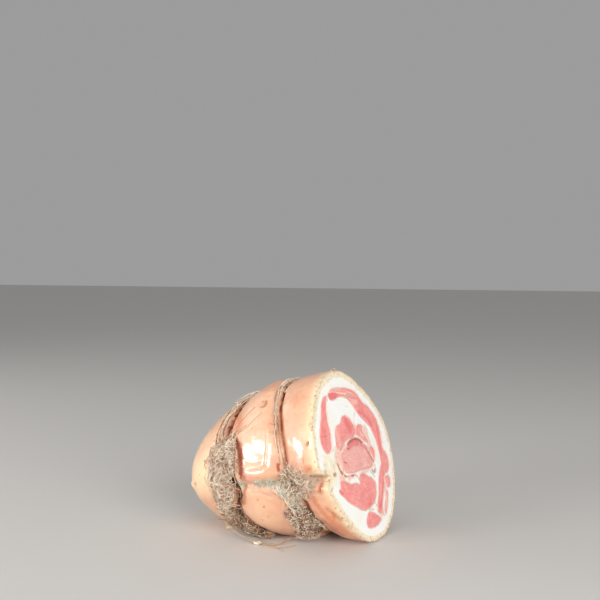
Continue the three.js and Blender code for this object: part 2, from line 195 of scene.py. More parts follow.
def sectionAxes(share):
    lean = np.radians(roll["cutLean"] + (roll["tipLean"] - roll["cutLean"]) * share)
    turn = np.radians(roll["cutTurn"] * (1 - share))
    outward = np.stack([np.cos(lean) * np.cos(turn), -np.cos(lean) * np.sin(turn), np.sin(lean)], axis=-1)
    side = np.stack([np.sin(turn), np.cos(turn), 0 * turn], axis=-1)
    return outward, side, np.cross(outward, side)


cutOutward, cutSide, cutUp = sectionAxes(np.float64(0))


def sectionMiddle(depth):
    share = np.clip(depth / roll["length"], 0, None)
    start = roll["cutCentre"] + roll["section"][0] * cutSide + roll["section"][1] * cutUp
    return start + np.stack([-depth, 0 * depth, -roll["drop"] * share ** roll["dropPower"]], axis=-1)


def profileRadius(depth):
    return roll["radius"] * np.sqrt(1 - np.clip(depth / roll["length"], 0, 1) ** roll["power"])


def bodyRadius(depth, angle):
    height = 0
    for ring in (frontRing, backRing):
        away = depth - ringDepth(ring, angle)
        height = height - ring["waist"] * bell(away, ring["waistWidth"])
        height = height - ring["groove"] * bell(away, ring["grooveWidth"])
    fromSeam = turnBetween(angle, seam["angle"])
    seamShare = ease(seam["reach"] - depth, 0, seam["fade"])
    height = height - seam["groove"] * seamShare * bell(fromSeam, seam["halfAngle"])
    notch = bell(fromSeam, seamNotch["halfAngle"]) * bell(depth, seamNotch["length"])
    height = height - seamNotch["deep"] * notch
    for *spot, rise in swellings:
        height = height + rise * patchShare(depth, angle, *spot)
    for spot in moulds:
        uneven = 0.6 + 0.6 * unevenness(depth * 0.9, angle * 0.4, 1)
        height = height + mouldRise * patchShare(depth, angle, *spot) * uneven
    across, along = np.sin(np.radians(angle)) * 2, np.cos(np.radians(angle)) * 2
    height = height + roll["ripple"] * unevenness(depth * 0.06, across, along)
    height = height * ease(roll["length"] - depth, 0, roll["calmTip"])
    lobe = 0
    for order, rise, direction in roll["lobes"]:
        lobe = lobe + rise * np.cos(order * np.radians(angle - direction))
    lobe = lobe * (1 - np.clip(depth / roll["length"], 0, 1)) ** 0.7
    return profileRadius(depth) * (1 + lobe / roll["radius"]) + height


def rollPoint(depth, angle, radius):
    depth, angle, radius = np.broadcast_arrays(np.asarray(depth, float), angle, radius)
    _, side, up = sectionAxes(np.clip(depth / roll["length"], 0, 1))
    across = (radius * np.cos(np.radians(angle)))[..., None]
    height = (radius * np.sin(np.radians(angle)))[..., None]
    return sectionMiddle(depth) + across * side + height * up


# point on the cut's plane: sideways and up from the cut's centre, and how far it stands out
def cutPoint(sideways, upward, out):
    spot = roll["cutCentre"]
    for amount, axis in ((sideways, cutSide), (upward, cutUp), (out, cutOutward)):
        spot = spot + np.asarray(amount)[..., None] * axis
    return spot


# distance to a chain of points, in two or three dimensions
def chainDistance(points, chain):
    points, chain = np.asarray(points, float), np.asarray(chain, float)
    if len(chain) == 1:
        return np.linalg.norm(points - chain[0], axis=-1)
    best = np.full(points.shape[:-1], 1e9)
    for start, end in zip(chain[:-1], chain[1:]):
        run = end - start
        share = np.clip(((points - start) @ run) / max(run @ run, 1e-9), 0, 1)
        best = np.minimum(best, np.linalg.norm(points - start - share[..., None] * run, axis=-1))
    return best


# distance to the nearest of several chains, each run as a soft curve
def nearChains(points, chains, spacing, lay=np.asarray):
    best = 1e9
    for chain in chains:
        line = evenCurve(chain, spacing) if len(chain) > 1 else np.array(chain, float)
        best = np.minimum(best, chainDistance(points, lay(line)))
    return best


def rowsOf(table):
    return [(kind, *row) for kind, rows in table.items() for row in rows]


# places on the cut with a third number, for the noise
def onFlat(places):
    return np.c_[places, np.zeros(len(places))]


def onRoll(line):
    return rollPoint(line[:, 0], line[:, 1], bodyRadius(line[:, 0], line[:, 1]))


# distance to a closed outline on the cut's plane, more than zero inside it
def outlineDistance(points, loop):
    low, high = loop.min(0) - 4, loop.max(0) + 4
    near = np.all((points > low) & (points < high), axis=1)
    found = np.full(len(points), -9.0)
    close = points[near]
    best = chainDistance(close, np.vstack([loop, loop[:1]]))
    inside = np.zeros(len(close), bool)
    for start, end in zip(loop, np.roll(loop, -1, axis=0)):
        run = end - start
        crosses = (start[1] > close[:, 1]) != (end[1] > close[:, 1])
        rise = run[1] if abs(run[1]) > 1e-12 else 1e-12
        inside ^= crosses & (close[:, 0] < start[0] + (close[:, 1] - start[1]) * run[0] / rise)
    found[near] = np.where(inside, best, -best)
    return found


# keep everything on the ground, with a soft contact
def softGround(points, give=0.5):
    z = points[..., 2]
    points[..., 2] = np.where(z < give, give * np.exp(np.minimum(z - give, 0) / give), z)
    return points


# open patch that carries fibres for a while, facing away from the axis
def carrierPatch(points, axisPoint, cover):
    faces = gridFaces(*points.shape[:2], False)
    patch = makeMesh("patch", points.reshape(-1, 3), faces, None, {"cover": cover.clip(0, 1).ravel()})
    if np.array(patch.data.polygons[0].normal) @ (points[0, 0] - axisPoint) < 0:
        patch.data.flip_normals()
    return patch


def addMarks(mesh, marks):
    for key, values in marks.items():
        mesh.attributes.new(key, "FLOAT", "POINT").data.foreach_set("value", np.asarray(values, np.float32))


def makeMesh(name, points, faces, material, marks=None, vectors=None):
    mesh = bpy.data.meshes.new(name)
    mesh.from_pydata((np.asarray(points) * metre).tolist(), [], [list(map(int, face)) for face in faces])
    addMarks(mesh, marks or {})
    for key, values in (vectors or {}).items():
        layer = mesh.attributes.new(key, "FLOAT_VECTOR", "POINT")
        layer.data.foreach_set("vector", np.asarray(values, np.float32).ravel())
    mesh.polygons.foreach_set("use_smooth", np.ones(len(mesh.polygons), bool))
    if material:
        mesh.materials.append(material)
    mesh.update()
    return addObject(name, mesh)


# rows of a grid, closed round its columns or open
def gridFaces(rows, columns, closed=True, first=0, flip=False):
    faces = []
    for i in range(rows - 1):
        for j in range(columns if closed else columns - 1):
            k = (j + 1) % columns
            here, there = first + i * columns, first + (i + 1) * columns
            face = (here + j, there + j, there + k, here + k)
            faces.append(face[::-1] if flip else face)
    return faces


# wall from a ring of points down to another
def wallFaces(ring, under):
    pairs = list(zip(ring, under))
    return [[c, a, b, d] for (a, b), (c, d) in zip(pairs, pairs[1:] + pairs[:1])]


def facesOut(points, faces):
    points = np.asarray(points)
    corners = np.array([(face[0], face[i], face[i + 1]) for face in faces for i in range(1, len(face) - 1)])
    a, b, c = points[corners[:, 0]], points[corners[:, 1]], points[corners[:, 2]]
    volume = np.einsum("ij,ij->i", a - points.mean(0), np.cross(b - points.mean(0), c - points.mean(0))).sum()
    return faces if volume > 0 else [face[::-1] for face in faces]


# name of a piece from the name of its node
def pieceName(node):
    first, *rest = node.split("_")
    return first + "".join(part.capitalize() for part in rest)


def place(piece, slot, *nodes):
    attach(piece, "root")
    if nodes:
        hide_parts(*nodes)
    return piece


# node building
def feed(tree, node, inputs):
    for key, value in inputs.items():
        if isinstance(value, bpy.types.NodeSocket):
            tree.links.new(value, node.inputs[key])
        else:
            node.inputs[key].default_value = value


def addNode(tree, kind, inputs=None, **settings):
    node = tree.nodes.new(kind)
    for key, value in settings.items():
        setattr(node, key, value)
    feed(tree, node, inputs or {})
    return node


def made(tree, kind, inputs=None, **settings):
    return addNode(tree, kind, inputs, **settings).outputs[0]


def tone(red, green, blue):
    linear = [(c / 255 / 12.92) if c < 11 else ((c / 255 + 0.055) / 1.055) ** 2.4 for c in (red, green, blue)]
    return (*linear, 1.0)


def maths(tree, operation, first, second=0.0):
    return made(tree, "ShaderNodeMath", {0: first, 1: second}, operation=operation)


def plus(tree, first, second):
    return maths(tree, "ADD", first, second)


def minus(tree, first, second):
    return maths(tree, "SUBTRACT", first, second)


def times(tree, first, second):
    return maths(tree, "MULTIPLY", first, second)


# value from one range to another, straight or eased
def ranged(tree, value, low, high, toLow=0.0, toHigh=1.0, kind="LINEAR"):
    inputs = {0: value, 1: low, 2: high, 3: toLow, 4: toHigh}
    return made(tree, "ShaderNodeMapRange", inputs, interpolation_type=kind)


def window(tree, value, low, high):
    return ranged(tree, value, low, high, kind="SMOOTHSTEP")


def noise(tree, inputs, flavour="3D"):
    return made(tree, "ShaderNodeTexNoise", inputs, noise_dimensions=flavour)


def blendColour(tree, mask, first, second):
    return addNode(tree, "ShaderNodeMix", {0: mask, 6: first, 7: second}, data_type="RGBA").outputs[2]


def mark(tree, name):
    return addNode(tree, "ShaderNodeAttribute", attribute_name=name).outputs["Fac"]


# node group with inputs by name and first value; a place is three numbers, a material is None
socketKinds = {float: "Float", int: "Int", bool: "Bool", tuple: "Vector", type(None): "Material"}


def startTree(kind, name, inputs):
    tree = bpy.data.node_groups.new(name, kind + "NodeTree")
    if kind == "Geometry":
        tree.interface.new_socket("Geometry", in_out="INPUT", socket_type="NodeSocketGeometry")
    for label, value in inputs.items():
        sort = "NodeSocket" + socketKinds[type(value)]
        socket = tree.interface.new_socket(label, in_out="INPUT", socket_type=sort)
        if value is not None:
            socket.default_value = value
    result = "NodeSocketGeometry" if kind == "Geometry" else "NodeSocketFloat"
    tree.interface.new_socket("Result", in_out="OUTPUT", socket_type=result)
    return tree, tree.nodes.new("NodeGroupInput").outputs, tree.nodes.new("NodeGroupOutput").inputs[0]


# patches with soft or crisp edges that come and go over the surface
mottle, given, result = startTree("Shader", "mottle", {
    "Place": (0, 0, 0), "Size": 100.0, "Low": 0.4, "High": 0.6, "Shift": 0.0})
cloud = noise(mottle, {
    "Vector": given["Place"], "Scale": given["Size"], "W": given["Shift"], "Detail": 4,
    "Roughness": 0.6}, "4D")
mottle.links.new(window(mottle, cloud, given["Low"], given["High"]), result)

# breaks up a painted mask so that its edge looks natural
ragged, given, result = startTree("Shader", "raggedEdge", {
    "Mask": 0.0, "Place": (0, 0, 0), "Size": 600.0, "Break": 0.6, "Low": 0.3, "High": 0.7})
grit = noise(ragged, {"Vector": given["Place"], "Scale": given["Size"], "Detail": 5, "Roughness": 0.65})
wobble = times(ragged, minus(ragged, grit, 0.5), given["Break"])
gate = times(ragged, wobble, window(ragged, given["Mask"], 0.0, 0.12))
ragged.links.new(window(ragged, plus(ragged, given["Mask"], gate), given["Low"], given["High"]), result)

# fine height: soft grain with small pits
grain, given, result = startTree("Shader", "fineGrain", {
    "Place": (0, 0, 0), "Grain": 900.0, "Pits": 500.0, "Pit Depth": 0.4})
soft = noise(grain, {"Vector": given["Place"], "Scale": given["Grain"], "Detail": 4, "Roughness": 0.6})
cells = made(grain, "ShaderNodeTexVoronoi", {"Vector": given["Place"], "Scale": given["Pits"]}, feature="F1")
pits = times(grain, window(grain, cells, 0.32, 0.0), given["Pit Depth"])
grain.links.new(minus(grain, soft, pits), result)

# thin pale lines of fat that wander through lean meat
veins, given, result = startTree("Shader", "fatVeins", {
    "Place": (0, 0, 0), "Size": 120.0, "Width": 0.02, "Shift": 0.0, "Cover": 0.5})
paths = noise(veins, {
    "Vector": given["Place"], "Scale": given["Size"], "W": given["Shift"], "Detail": 3, "Roughness": 0.55,
    "Distortion": 0.4}, "4D")
line = maths(veins, "ABSOLUTE", minus(veins, paths, 0.5))
thin = ranged(veins, line, given["Width"], 0.0)
areas = noise(veins, {
    "Vector": given["Place"], "Scale": times(veins, given["Size"], 0.35), "W": 7, "Detail": 2}, "4D")
patchy = window(veins, areas, given["Cover"], plus(veins, given["Cover"], 0.12))
veins.links.new(times(veins, thin, patchy), result)


def useGroup(tree, group, inputs):
    return made(tree, "ShaderNodeGroup", inputs, node_tree=group)


def grained(tree, where, size, pits, depth):
    return useGroup(tree, grain, {"Place": where, "Grain": size, "Pits": pits, "Pit Depth": depth})


def veined(tree, where, size, width, shift, cover):
    return useGroup(tree, veins, {
        "Place": where, "Size": size, "Width": width, "Shift": shift, "Cover": cover})


def mottled(tree, place, size, low, high, shift):
    return useGroup(tree, mottle, {"Place": place, "Size": size, "Low": low, "High": high, "Shift": shift})


# colour with a share of another tone where the mask lies
def tinted(tree, colour, mask, share, shade):
    return blendColour(tree, times(tree, mask, share), colour, tone(*shade))


def startMaterial(name):
    material = bpy.data.materials.new(name)
    material.use_nodes = True
    tree = material.node_tree
    shader = tree.nodes["Principled BSDF"]
    where = addNode(tree, "ShaderNodeTexCoord").outputs["Object"]
    return material, tree, shader, where


def bumpFrom(tree, shader, height, strength, distance):
    bump = addNode(tree, "ShaderNodeBump", {"Height": height, "Strength": strength, "Distance": distance})
    tree.links.new(bump.outputs[0], shader.inputs["Normal"])


def stretched(tree, vector, scale):
    return made(tree, "ShaderNodeMapping", {"Vector": vector, "Scale": scale})


# painted marks laid over a colour one after another: mark, size, break, low, high, share, tone
def layMarks(tree, where, colour, layers):
    masks = {}
    for name, size, rough, low, high, share, shade in layers:
        masks[name] = useGroup(tree, ragged, {
            "Mask": mark(tree, name), "Place": where, "Size": size, "Break": rough, "Low": low, "High": high})
        colour = tinted(tree, colour, masks[name], share, shade)
    return colour, masks


# patches of another tone, only where a mark lies if one is named: size, low, high, shift, share, tone
def layPatches(tree, where, colour, size, low, high, shift, share, shade, gate=None):
    spots = mottled(tree, where, size, low, high, shift)
    if gate:
        spots = times(tree, spots, mark(tree, gate))
    return tinted(tree, colour, spots, share, shade)


# rind: waxy peach skin with cream dome, stains, mould and grey soil, and painted shade in its grooves, pits
# and slit
def rindMaterial():
    material, tree, shader, where = startMaterial("waxyRind")
    broad = mottled(tree, where, 34, 0.36, 0.64, 1)
    small = mottled(tree, where, 210, 0.38, 0.66, 4)
    colour = blendColour(tree, broad, tone(226, 168, 134), tone(236, 184, 150))
    colour = tinted(tree, colour, small, 0.35, (219, 153, 117))
    colour = layPatches(tree, where, colour, 75.0, 0.46, 0.7, 13.0, 0.5, (244, 206, 174))
    colour = blendColour(tree, mark(tree, "cream"), colour, tone(248, 217, 172))
    colour, _ = layMarks(tree, where, colour, [
        ("pink", 160, 0.8, 0.3, 0.7, 0.75, (228, 160, 138)),
        ("orange", 130, 0.6, 0.0, 1.0, 0.85, (216, 130, 86))])
    colour = blendColour(tree, mark(tree, "cutBand"), colour, tone(250, 226, 190))
    colour = layPatches(tree, where, colour, 150.0, 0.48, 0.66, 10.0, 0.5, (232, 182, 136), "cutBand")
    colour = layPatches(tree, where, colour, 430.0, 0.52, 0.64, 11.0, 0.85, (190, 130, 86), "cutBand")
    specks = made(tree, "ShaderNodeTexVoronoi", {"Vector": where, "Scale": 210}, feature="F1")
    speckGate = mottled(tree, where, 45, 0.56, 0.66, 9)
    speck = times(tree, window(tree, specks, 0.16, 0.08), speckGate)
    colour = tinted(tree, colour, speck, 0.7, (140, 92, 68))
    colour, masks = layMarks(tree, where, colour, [
        ("soil", 420, 1.0, 0.3, 0.7, 0.6, (204, 164, 138)),
        ("stain", 240, 0.5, 0.05, 0.95, 0.85, (172, 102, 66)),
        ("brown", 500, 0.9, 0.2, 0.8, 0.8, (172, 106, 70)),
        ("red", 600, 0.8, 0.1, 0.85, 0.9, (158, 66, 36)),
        ("mould", 520, 1.1, 0.3, 0.7, 0.9, (206, 196, 170))])
    furry = times(tree, masks["mould"], mottled(tree, where, 900, 0.4, 0.62, 2))
    colour = blendColour(tree, furry, colour, tone(228, 220, 198))
    # painted shade: the dark mark darkens grooves, pits and the slit as shade would, with some dark stain
    colour, darks = layMarks(tree, where, colour, [("dark", 800, 0.7, 0.12, 0.9, 0.9, (78, 42, 29))])
    dirtAndShade = darks["dark"]
    for kind in ("soil", "brown", "red", "mould"):
        dirtAndShade = maths(tree, "MAXIMUM", dirtAndShade, masks[kind])
    feed(tree, shader, {
        "Base Color": colour,
        "Roughness": plus(tree, ranged(tree, small, 0.0, 1.0, 0.3, 0.42), times(tree, dirtAndShade, 0.45)),
        "Coat Weight": times(tree, minus(tree, 1.0, dirtAndShade), 0.7), "Coat Roughness": 0.15,
        "Subsurface Weight": 0.16, "Subsurface Radius": (1.0, 0.5, 0.3), "Subsurface Scale": 0.0035})
    height = grained(tree, where, 900, 620, 0.35)
    crusty = noise(tree, {"Vector": where, "Scale": 1900, "Detail": 4})
    height = plus(tree, height, times(tree, times(tree, dirtAndShade, crusty), 2.4))
    bumpFrom(tree, shader, height, 0.35, 0.0003)
    return material


# white back fat on the cut
def fatMaterial():
    material, tree, shader, where = startMaterial("cutFat")
    broad = mottled(tree, where, 60, 0.35, 0.65, 3)
    colour = blendColour(tree, broad, tone(255, 250, 238), tone(255, 253, 248))
    colour, _ = layMarks(tree, where, colour, [
        ("rimNear", 330, 0.9, 0.3, 0.7, 0.85, (250, 229, 196)),
        ("rimOuter", 500, 0.8, 0.3, 0.7, 0.75, (232, 192, 148))])
    colour = layPatches(tree, where, colour, 430.0, 0.52, 0.64, 11.0, 0.6, (206, 152, 108), "rimNear")
    colour, _ = layMarks(tree, where, colour, [("jelly", 260, 0.6, 0.1, 0.9, 0.65, (248, 230, 192))])
    threads = veined(tree, where, 190, 0.03, 2, 0.46)
    colour = tinted(tree, colour, threads, 0.35, (236, 208, 180))
    colour, _ = layMarks(tree, where, colour, [("web", 330, 1.3, 0.3, 0.7, 0.65, (248, 192, 176))])
    colour = layPatches(tree, where, colour, 620.0, 0.5, 0.6, 3.0, 0.55, (238, 150, 140), "web")
    colour, _ = layMarks(tree, where, colour, [
        ("leanNear", 420, 1.0, 0.1, 0.9, 0.75, (247, 182, 168)),
        ("pinkish", 420, 1.0, 0.3, 0.7, 0.7, (236, 158, 148)),
        ("green", 600, 0.9, 0.1, 0.9, 0.7, (188, 186, 152)),
        ("brown", 700, 1.0, 0.1, 0.95, 0.85, (180, 112, 66)),
        ("red", 700, 0.9, 0.05, 0.9, 0.9, (176, 60, 54)),
        ("dark", 900, 1.0, 0.05, 1.0, 0.85, (110, 48, 38))])
    feed(tree, shader, {
        "Base Color": colour, "Roughness": ranged(tree, broad, 0.0, 1.0, 0.36, 0.5),
        "Subsurface Weight": 0.3, "Subsurface Radius": (1.0, 0.6, 0.4), "Subsurface Scale": 0.004})
    bumpFrom(tree, shader, grained(tree, where, 700, 420, 0.25), 0.3, 0.0003)
    return material


# lean meat, with its grain along the roll's spiral
def leanMaterial(name, main, rich, light, veinCover, deepShare):
    material, tree, shader, where = startMaterial(name)
    deep, pale = tone(*rich), tone(*light)
    flow = addNode(tree, "ShaderNodeAttribute", attribute_name="flow").outputs["Vector"]
    streakPlace = stretched(tree, flow, (140.0, 900.0, 500.0))
    streak = noise(tree, {"Vector": streakPlace, "Scale": 1, "Detail": 5, "Roughness": 0.62})
    broad = mottled(tree, where, 110, 0.36, 0.66, 6)
    colour = blendColour(tree, window(tree, streak, 0.36, 0.66), tone(*main), pale)
    colour = blendColour(tree, times(tree, broad, deepShare), colour, deep)
    bundlePlace = stretched(tree, flow, (330.0, 620.0, 400.0))
    bundles = made(
        tree, "ShaderNodeTexVoronoi", {"Vector": bundlePlace, "Scale": 1}, feature="DISTANCE_TO_EDGE")
    seams = window(tree, bundles, 0.1, 0.0)
    colour = blendColour(tree, times(tree, seams, 0.22), colour, pale)
    fat = veined(tree, stretched(tree, flow, (1.0, 2.4, 1.0)), 95, 0.022, 5, veinCover)
    colour = tinted(tree, colour, fat, 0.7, (250, 214, 200))
    colour, _ = layMarks(tree, where, colour, [
        ("border", 420, 0.9, 0.3, 0.7, 0.5, (249, 184, 170)),
        ("paler", 500, 0.8, 0.3, 0.7, 0.8, (250, 196, 178)),
        ("white", 700, 0.7, 0.3, 0.7, 0.85, (252, 232, 214)),
        ("grey", 700, 0.9, 0.3, 0.7, 0.7, (206, 178, 160)),
        ("richer", 400, 0.7, 0.3, 0.7, 0.75, rich),
        ("dark", 800, 0.9, 0.1, 0.95, 0.75, (146, 56, 52))])
    feed(tree, shader, {
        "Base Color": colour, "Roughness": ranged(tree, streak, 0.3, 0.7, 0.34, 0.5),
        "Subsurface Weight": 0.18, "Subsurface Radius": (1.0, 0.25, 0.2), "Subsurface Scale": 0.003})
    height = plus(tree, times(tree, streak, 1.2), grained(tree, where, 1300, 700, 0.3))
    bumpFrom(tree, shader, height, 0.4, 0.0003)
    return material


# dry fibre and twine: every hair has its own tone
def fibreMaterial(name, shades, soilTone, soilShare):
    material, tree, shader, where = startMaterial(name)
    ramp = tree.nodes.new("ShaderNodeValToRGB")
    tree.links.new(mark(tree, "fibreTone"), ramp.inputs[0])
    stops = ramp.color_ramp.elements
    while len(stops) < len(shades):
        stops.new(0.5)
    for i, shade in enumerate(shades):
        stops[i].position = i / (len(shades) - 1)
        stops[i].color = shade
    rot = mottled(tree, where, 200, 0.46, 0.66, 8)
    colour = blendColour(tree, times(tree, rot, soilShare), ramp.outputs[0], soilTone)
    feed(tree, shader, {"Base Color": colour, "Roughness": 0.8, "Specular IOR Level": 0.3})
    hair = noise(tree, {"Vector": where, "Scale": 2600, "Detail": 3})
    bumpFrom(tree, shader, hair, 0.5, 0.0002)
    return material


# packed mat of the wads: pinkish beige, with pale strands, gaps darkened with painted shade, brown and dark
# marks that are partly painted shade, and pale flecks
def matMaterial():
    material, tree, shader, where = startMaterial("packedMat")
    blotch = mottled(tree, where, 150, 0.36, 0.64, 5)
    colour = blendColour(tree, blotch, tone(176, 138, 112), tone(222, 188, 162))
    fine = mottled(tree, where, 900, 0.42, 0.62, 3)
    colour = tinted(tree, colour, fine, 0.4, (240, 220, 196))
    gaps = veined(tree, where, 420, 0.07, 8, 0.36)
    gaps = times(tree, gaps, minus(tree, 1.1, mark(tree, "smooth")))
    # painted shade: the gaps between strands are darkened as shade would fall in them
    colour = tinted(tree, colour, gaps, 0.8, (104, 70, 50))
    strands = veined(tree, where, 560, 0.03, 2, 0.3)
    colour = tinted(tree, colour, strands, 0.5, (244, 228, 204))
    # brown and dark: partly painted shade on the left wad's tail and in the slit
    colour, _ = layMarks(tree, where, colour, [
        ("brown", 500, 0.9, 0.1, 0.9, 0.85, (122, 78, 54)),
        ("dark", 700, 0.6, 0.3, 0.7, 0.9, (60, 35, 26)),
        ("pale", 520, 1.2, 0.3, 0.7, 0.85, (240, 236, 218))])
    feed(tree, shader, {"Base Color": colour, "Roughness": 0.72, "Specular IOR Level": 0.35})
    grit = grained(tree, where, 1100, 520, 0.5)
    height = plus(tree, grit, times(tree, minus(tree, strands, gaps), 0.8))
    bumpFrom(tree, shader, height, 0.6, 0.0005)
    return material


rindSkinMaterial = rindMaterial()
cutFatMaterial = fatMaterial()
leanMeat = leanMaterial("leanMeat", (247, 145, 141), (233, 113, 114), (252, 176, 166), 0.5, 0.45)
coreMeat = leanMaterial("coreMeat", (245, 165, 158), (230, 124, 124), (250, 196, 184), 0.4, 0.3)
twineMaterial = fibreMaterial(
    "hempTwine", [tone(118, 86, 64), tone(176, 144, 114), tone(214, 188, 158), tone(242, 226, 200)],
    tone(150, 104, 76), 0.3)
fibreMatMaterial = fibreMaterial(
    "mattedFibre", [tone(196, 160, 134), tone(232, 204, 178), tone(248, 230, 206), tone(254, 246, 228)],
    tone(150, 110, 86), 0.42)
wadCoreMaterial = matMaterial()
mouldMaterial = fibreMaterial(
    "mouldFluff", [tone(202, 192, 166), tone(230, 222, 200), tone(250, 246, 234)], tone(176, 160, 134), 0.2)
print("materials built")


# geometry node trees
def randomNumber(tree, low, high, seed, shift):
    inputs = {2: low, 3: high, 8: plus(tree, seed, float(shift))}
    return addNode(tree, "FunctionNodeRandomValue", inputs, data_type="FLOAT").outputs[1]


def vectorMaths(tree, operation, first, second=None, scale=None):
    inputs = {key: value for key, value in ((0, first), (1, second), (3, scale)) if value is not None}
    return made(tree, "ShaderNodeVectorMath", inputs, operation=operation)


def ownMark(tree, name):
    return made(tree, "GeometryNodeInputNamedAttribute", {"Name": name}, data_type="FLOAT")


def aboveGround(tree, geometry, least):
    spot = made(tree, "GeometryNodeInputPosition")
    parts = addNode(tree, "ShaderNodeSeparateXYZ", {0: spot}).outputs
    height = maths(tree, "MAXIMUM", parts[2], least)
    lifted = made(tree, "ShaderNodeCombineXYZ", {0: parts[0], 1: parts[1], 2: height})
    return made(tree, "GeometryNodeSetPosition", {"Geometry": geometry, "Position": lifted})


def storeNumber(tree, geometry, name, value):
    return made(
        tree, "GeometryNodeStoreNamedAttribute", {"Geometry": geometry, "Name": name, "Value": value},
        domain="INSTANCE", data_type="FLOAT")


# noise as three numbers round nought
def colourNoise(tree, inputs, flavour="3D"):
    noisy = addNode(tree, "ShaderNodeTexNoise", inputs, noise_dimensions=flavour).outputs[1]
    return vectorMaths(tree, "SUBTRACT", noisy, (0.5, 0.5, 0.5))


# last steps of a tree: plain geometry with its material
def closeTree(tree, geometry, given, result):
    geometry = made(tree, "GeometryNodeRealizeInstances", {"Geometry": geometry})
    geometry = made(
        tree, "GeometryNodeSetMaterial", {"Geometry": geometry, "Material": given["Material"]})
    tree.links.new(geometry, result)


# curly fibres that lie on a surface and follow it, thickest where its "cover" is high
tree, given, result = startTree("Geometry", "curlyFibres", {
    "Density": 200000.0, "Length": 0.012, "Curl Size": 180.0, "Curl": 0.01, "Lift": 0.001,
    "Free End": 0.002, "Thickness": 0.0002, "Points": 10, "Seed": 1, "Material": None})
scatter = addNode(tree, "GeometryNodeDistributePointsOnFaces", {
    "Mesh": given["Geometry"], "Density": times(tree, given["Density"], ownMark(tree, "cover")),
    "Seed": given["Seed"]})
spin = made(tree, "FunctionNodeAxisAngleToRotation", {
    "Axis": (0, 0, 1), "Angle": randomNumber(tree, 0.0, 6.283, given["Seed"], 1)})
turned = made(
    tree, "FunctionNodeRotateRotation", {"Rotation": scatter.outputs["Rotation"], "Rotate By": spin},
    rotation_space="LOCAL")
hairLine = made(tree, "GeometryNodeCurvePrimitiveLine", {"Start": (-0.5, 0, 0), "End": (0.5, 0, 0)})
hairLine = made(tree, "GeometryNodeResampleCurve", {"Curve": hairLine, "Count": given["Points"]})
size = times(tree, given["Length"], randomNumber(tree, 0.45, 1.25, given["Seed"], 2))
hairs = made(tree, "GeometryNodeInstanceOnPoints", {
    "Points": scatter.outputs[0], "Instance": hairLine, "Rotation": turned, "Scale": size})
for key, most, shift in (("fibreTone", 1.0, 3), ("fibreSeed", 60.0, 4)):
    hairs = storeNumber(tree, hairs, key, randomNumber(tree, 0.0, most, given["Seed"], shift))
hairs = made(tree, "GeometryNodeRealizeInstances", {"Geometry": hairs})
ownSeed = ownMark(tree, "fibreSeed")
spot = made(tree, "GeometryNodeInputPosition")
swirl = colourNoise(tree, {"Vector": spot, "W": ownSeed, "Scale": given["Curl Size"], "Detail": 1}, "4D")
offset = vectorMaths(tree, "SCALE", swirl, scale=given["Curl"])
hairs = made(tree, "GeometryNodeSetPosition", {"Geometry": hairs, "Offset": offset})
nearest = made(tree, "GeometryNodeProximity", {"Geometry": given["Geometry"]}, target_element="FACES")
normal = made(tree, "GeometryNodeInputNormal")
surfaceUp = made(
    tree, "GeometryNodeSampleNearestSurface", {"Mesh": given["Geometry"], "Value": normal},
    data_type="FLOAT_VECTOR")
along = made(tree, "GeometryNodeSplineParameter")
sway = noise(tree, {"W": plus(tree, ownSeed, times(tree, along, 2.6)), "Scale": 1, "Detail": 0}, "1D")
rise = times(tree, window(tree, sway, 0.3, 0.72), given["Lift"])
freedom = maths(tree, "POWER", maths(tree, "FRACT", times(tree, ownSeed, 3.7)), 5.0)
stray = times(tree, times(tree, maths(tree, "POWER", along, 2.0), freedom), given["Free End"])
rise = plus(tree, plus(tree, rise, stray), given["Thickness"])
hugging = vectorMaths(tree, "ADD", nearest, vectorMaths(tree, "SCALE", surfaceUp, scale=rise))
hairs = made(tree, "GeometryNodeSetPosition", {"Geometry": hairs, "Position": hugging})
hairs = aboveGround(tree, hairs, 0.0003)
profile = made(tree, "GeometryNodeCurvePrimitiveCircle", {"Resolution": 3, "Radius": given["Thickness"]})
girth = ranged(tree, maths(tree, "FRACT", times(tree, ownSeed, 1.9)), 0.0, 1.0, 0.6, 1.25)
closeTree(tree, made(tree, "GeometryNodeCurveToMesh", {
    "Curve": hairs, "Profile Curve": profile, "Scale": girth, "Fill Caps": True}), given, result)
fibreTree = tree

# one or two plies twisted round a chain of edges
tree, given, result = startTree("Geometry", "twistedTwine", {
    "Step": 0.0008, "Ply Radius": 0.0004, "Ply Offset": 0.00035, "Turns": 200.0, "Two Plies": True,
    "Wander": 0.0002, "Sides": 7, "Material": None})
chain = made(tree, "GeometryNodeMeshToCurve", {"Mesh": given["Geometry"]})
chain = made(tree, "GeometryNodeResampleCurve", {"Curve": chain, "Length": given["Step"]}, mode="LENGTH")
spot = made(tree, "GeometryNodeInputPosition")
drift = colourNoise(tree, {"Vector": spot, "Scale": 130, "Detail": 1})
drift = vectorMaths(tree, "SCALE", drift, scale=given["Wander"])
chain = made(tree, "GeometryNodeSetPosition", {"Geometry": chain, "Offset": drift})
gone = addNode(tree, "GeometryNodeSplineParameter").outputs["Length"]
twist = times(tree, times(tree, gone, given["Turns"]), 6.283)
chain = made(tree, "GeometryNodeSetCurveTilt", {"Curve": chain, "Tilt": twist})
ply = made(tree, "GeometryNodeCurvePrimitiveCircle", {
    "Resolution": given["Sides"], "Radius": given["Ply Radius"]})
shift = made(tree, "ShaderNodeCombineXYZ", {0: given["Ply Offset"]})
bothPlies = addNode(tree, "GeometryNodeJoinGeometry")
for side in (shift, vectorMaths(tree, "SCALE", shift, scale=-1.0)):
    moved = made(tree, "GeometryNodeTransform", {"Geometry": ply, "Translation": side})
    tree.links.new(moved, bothPlies.inputs[0])
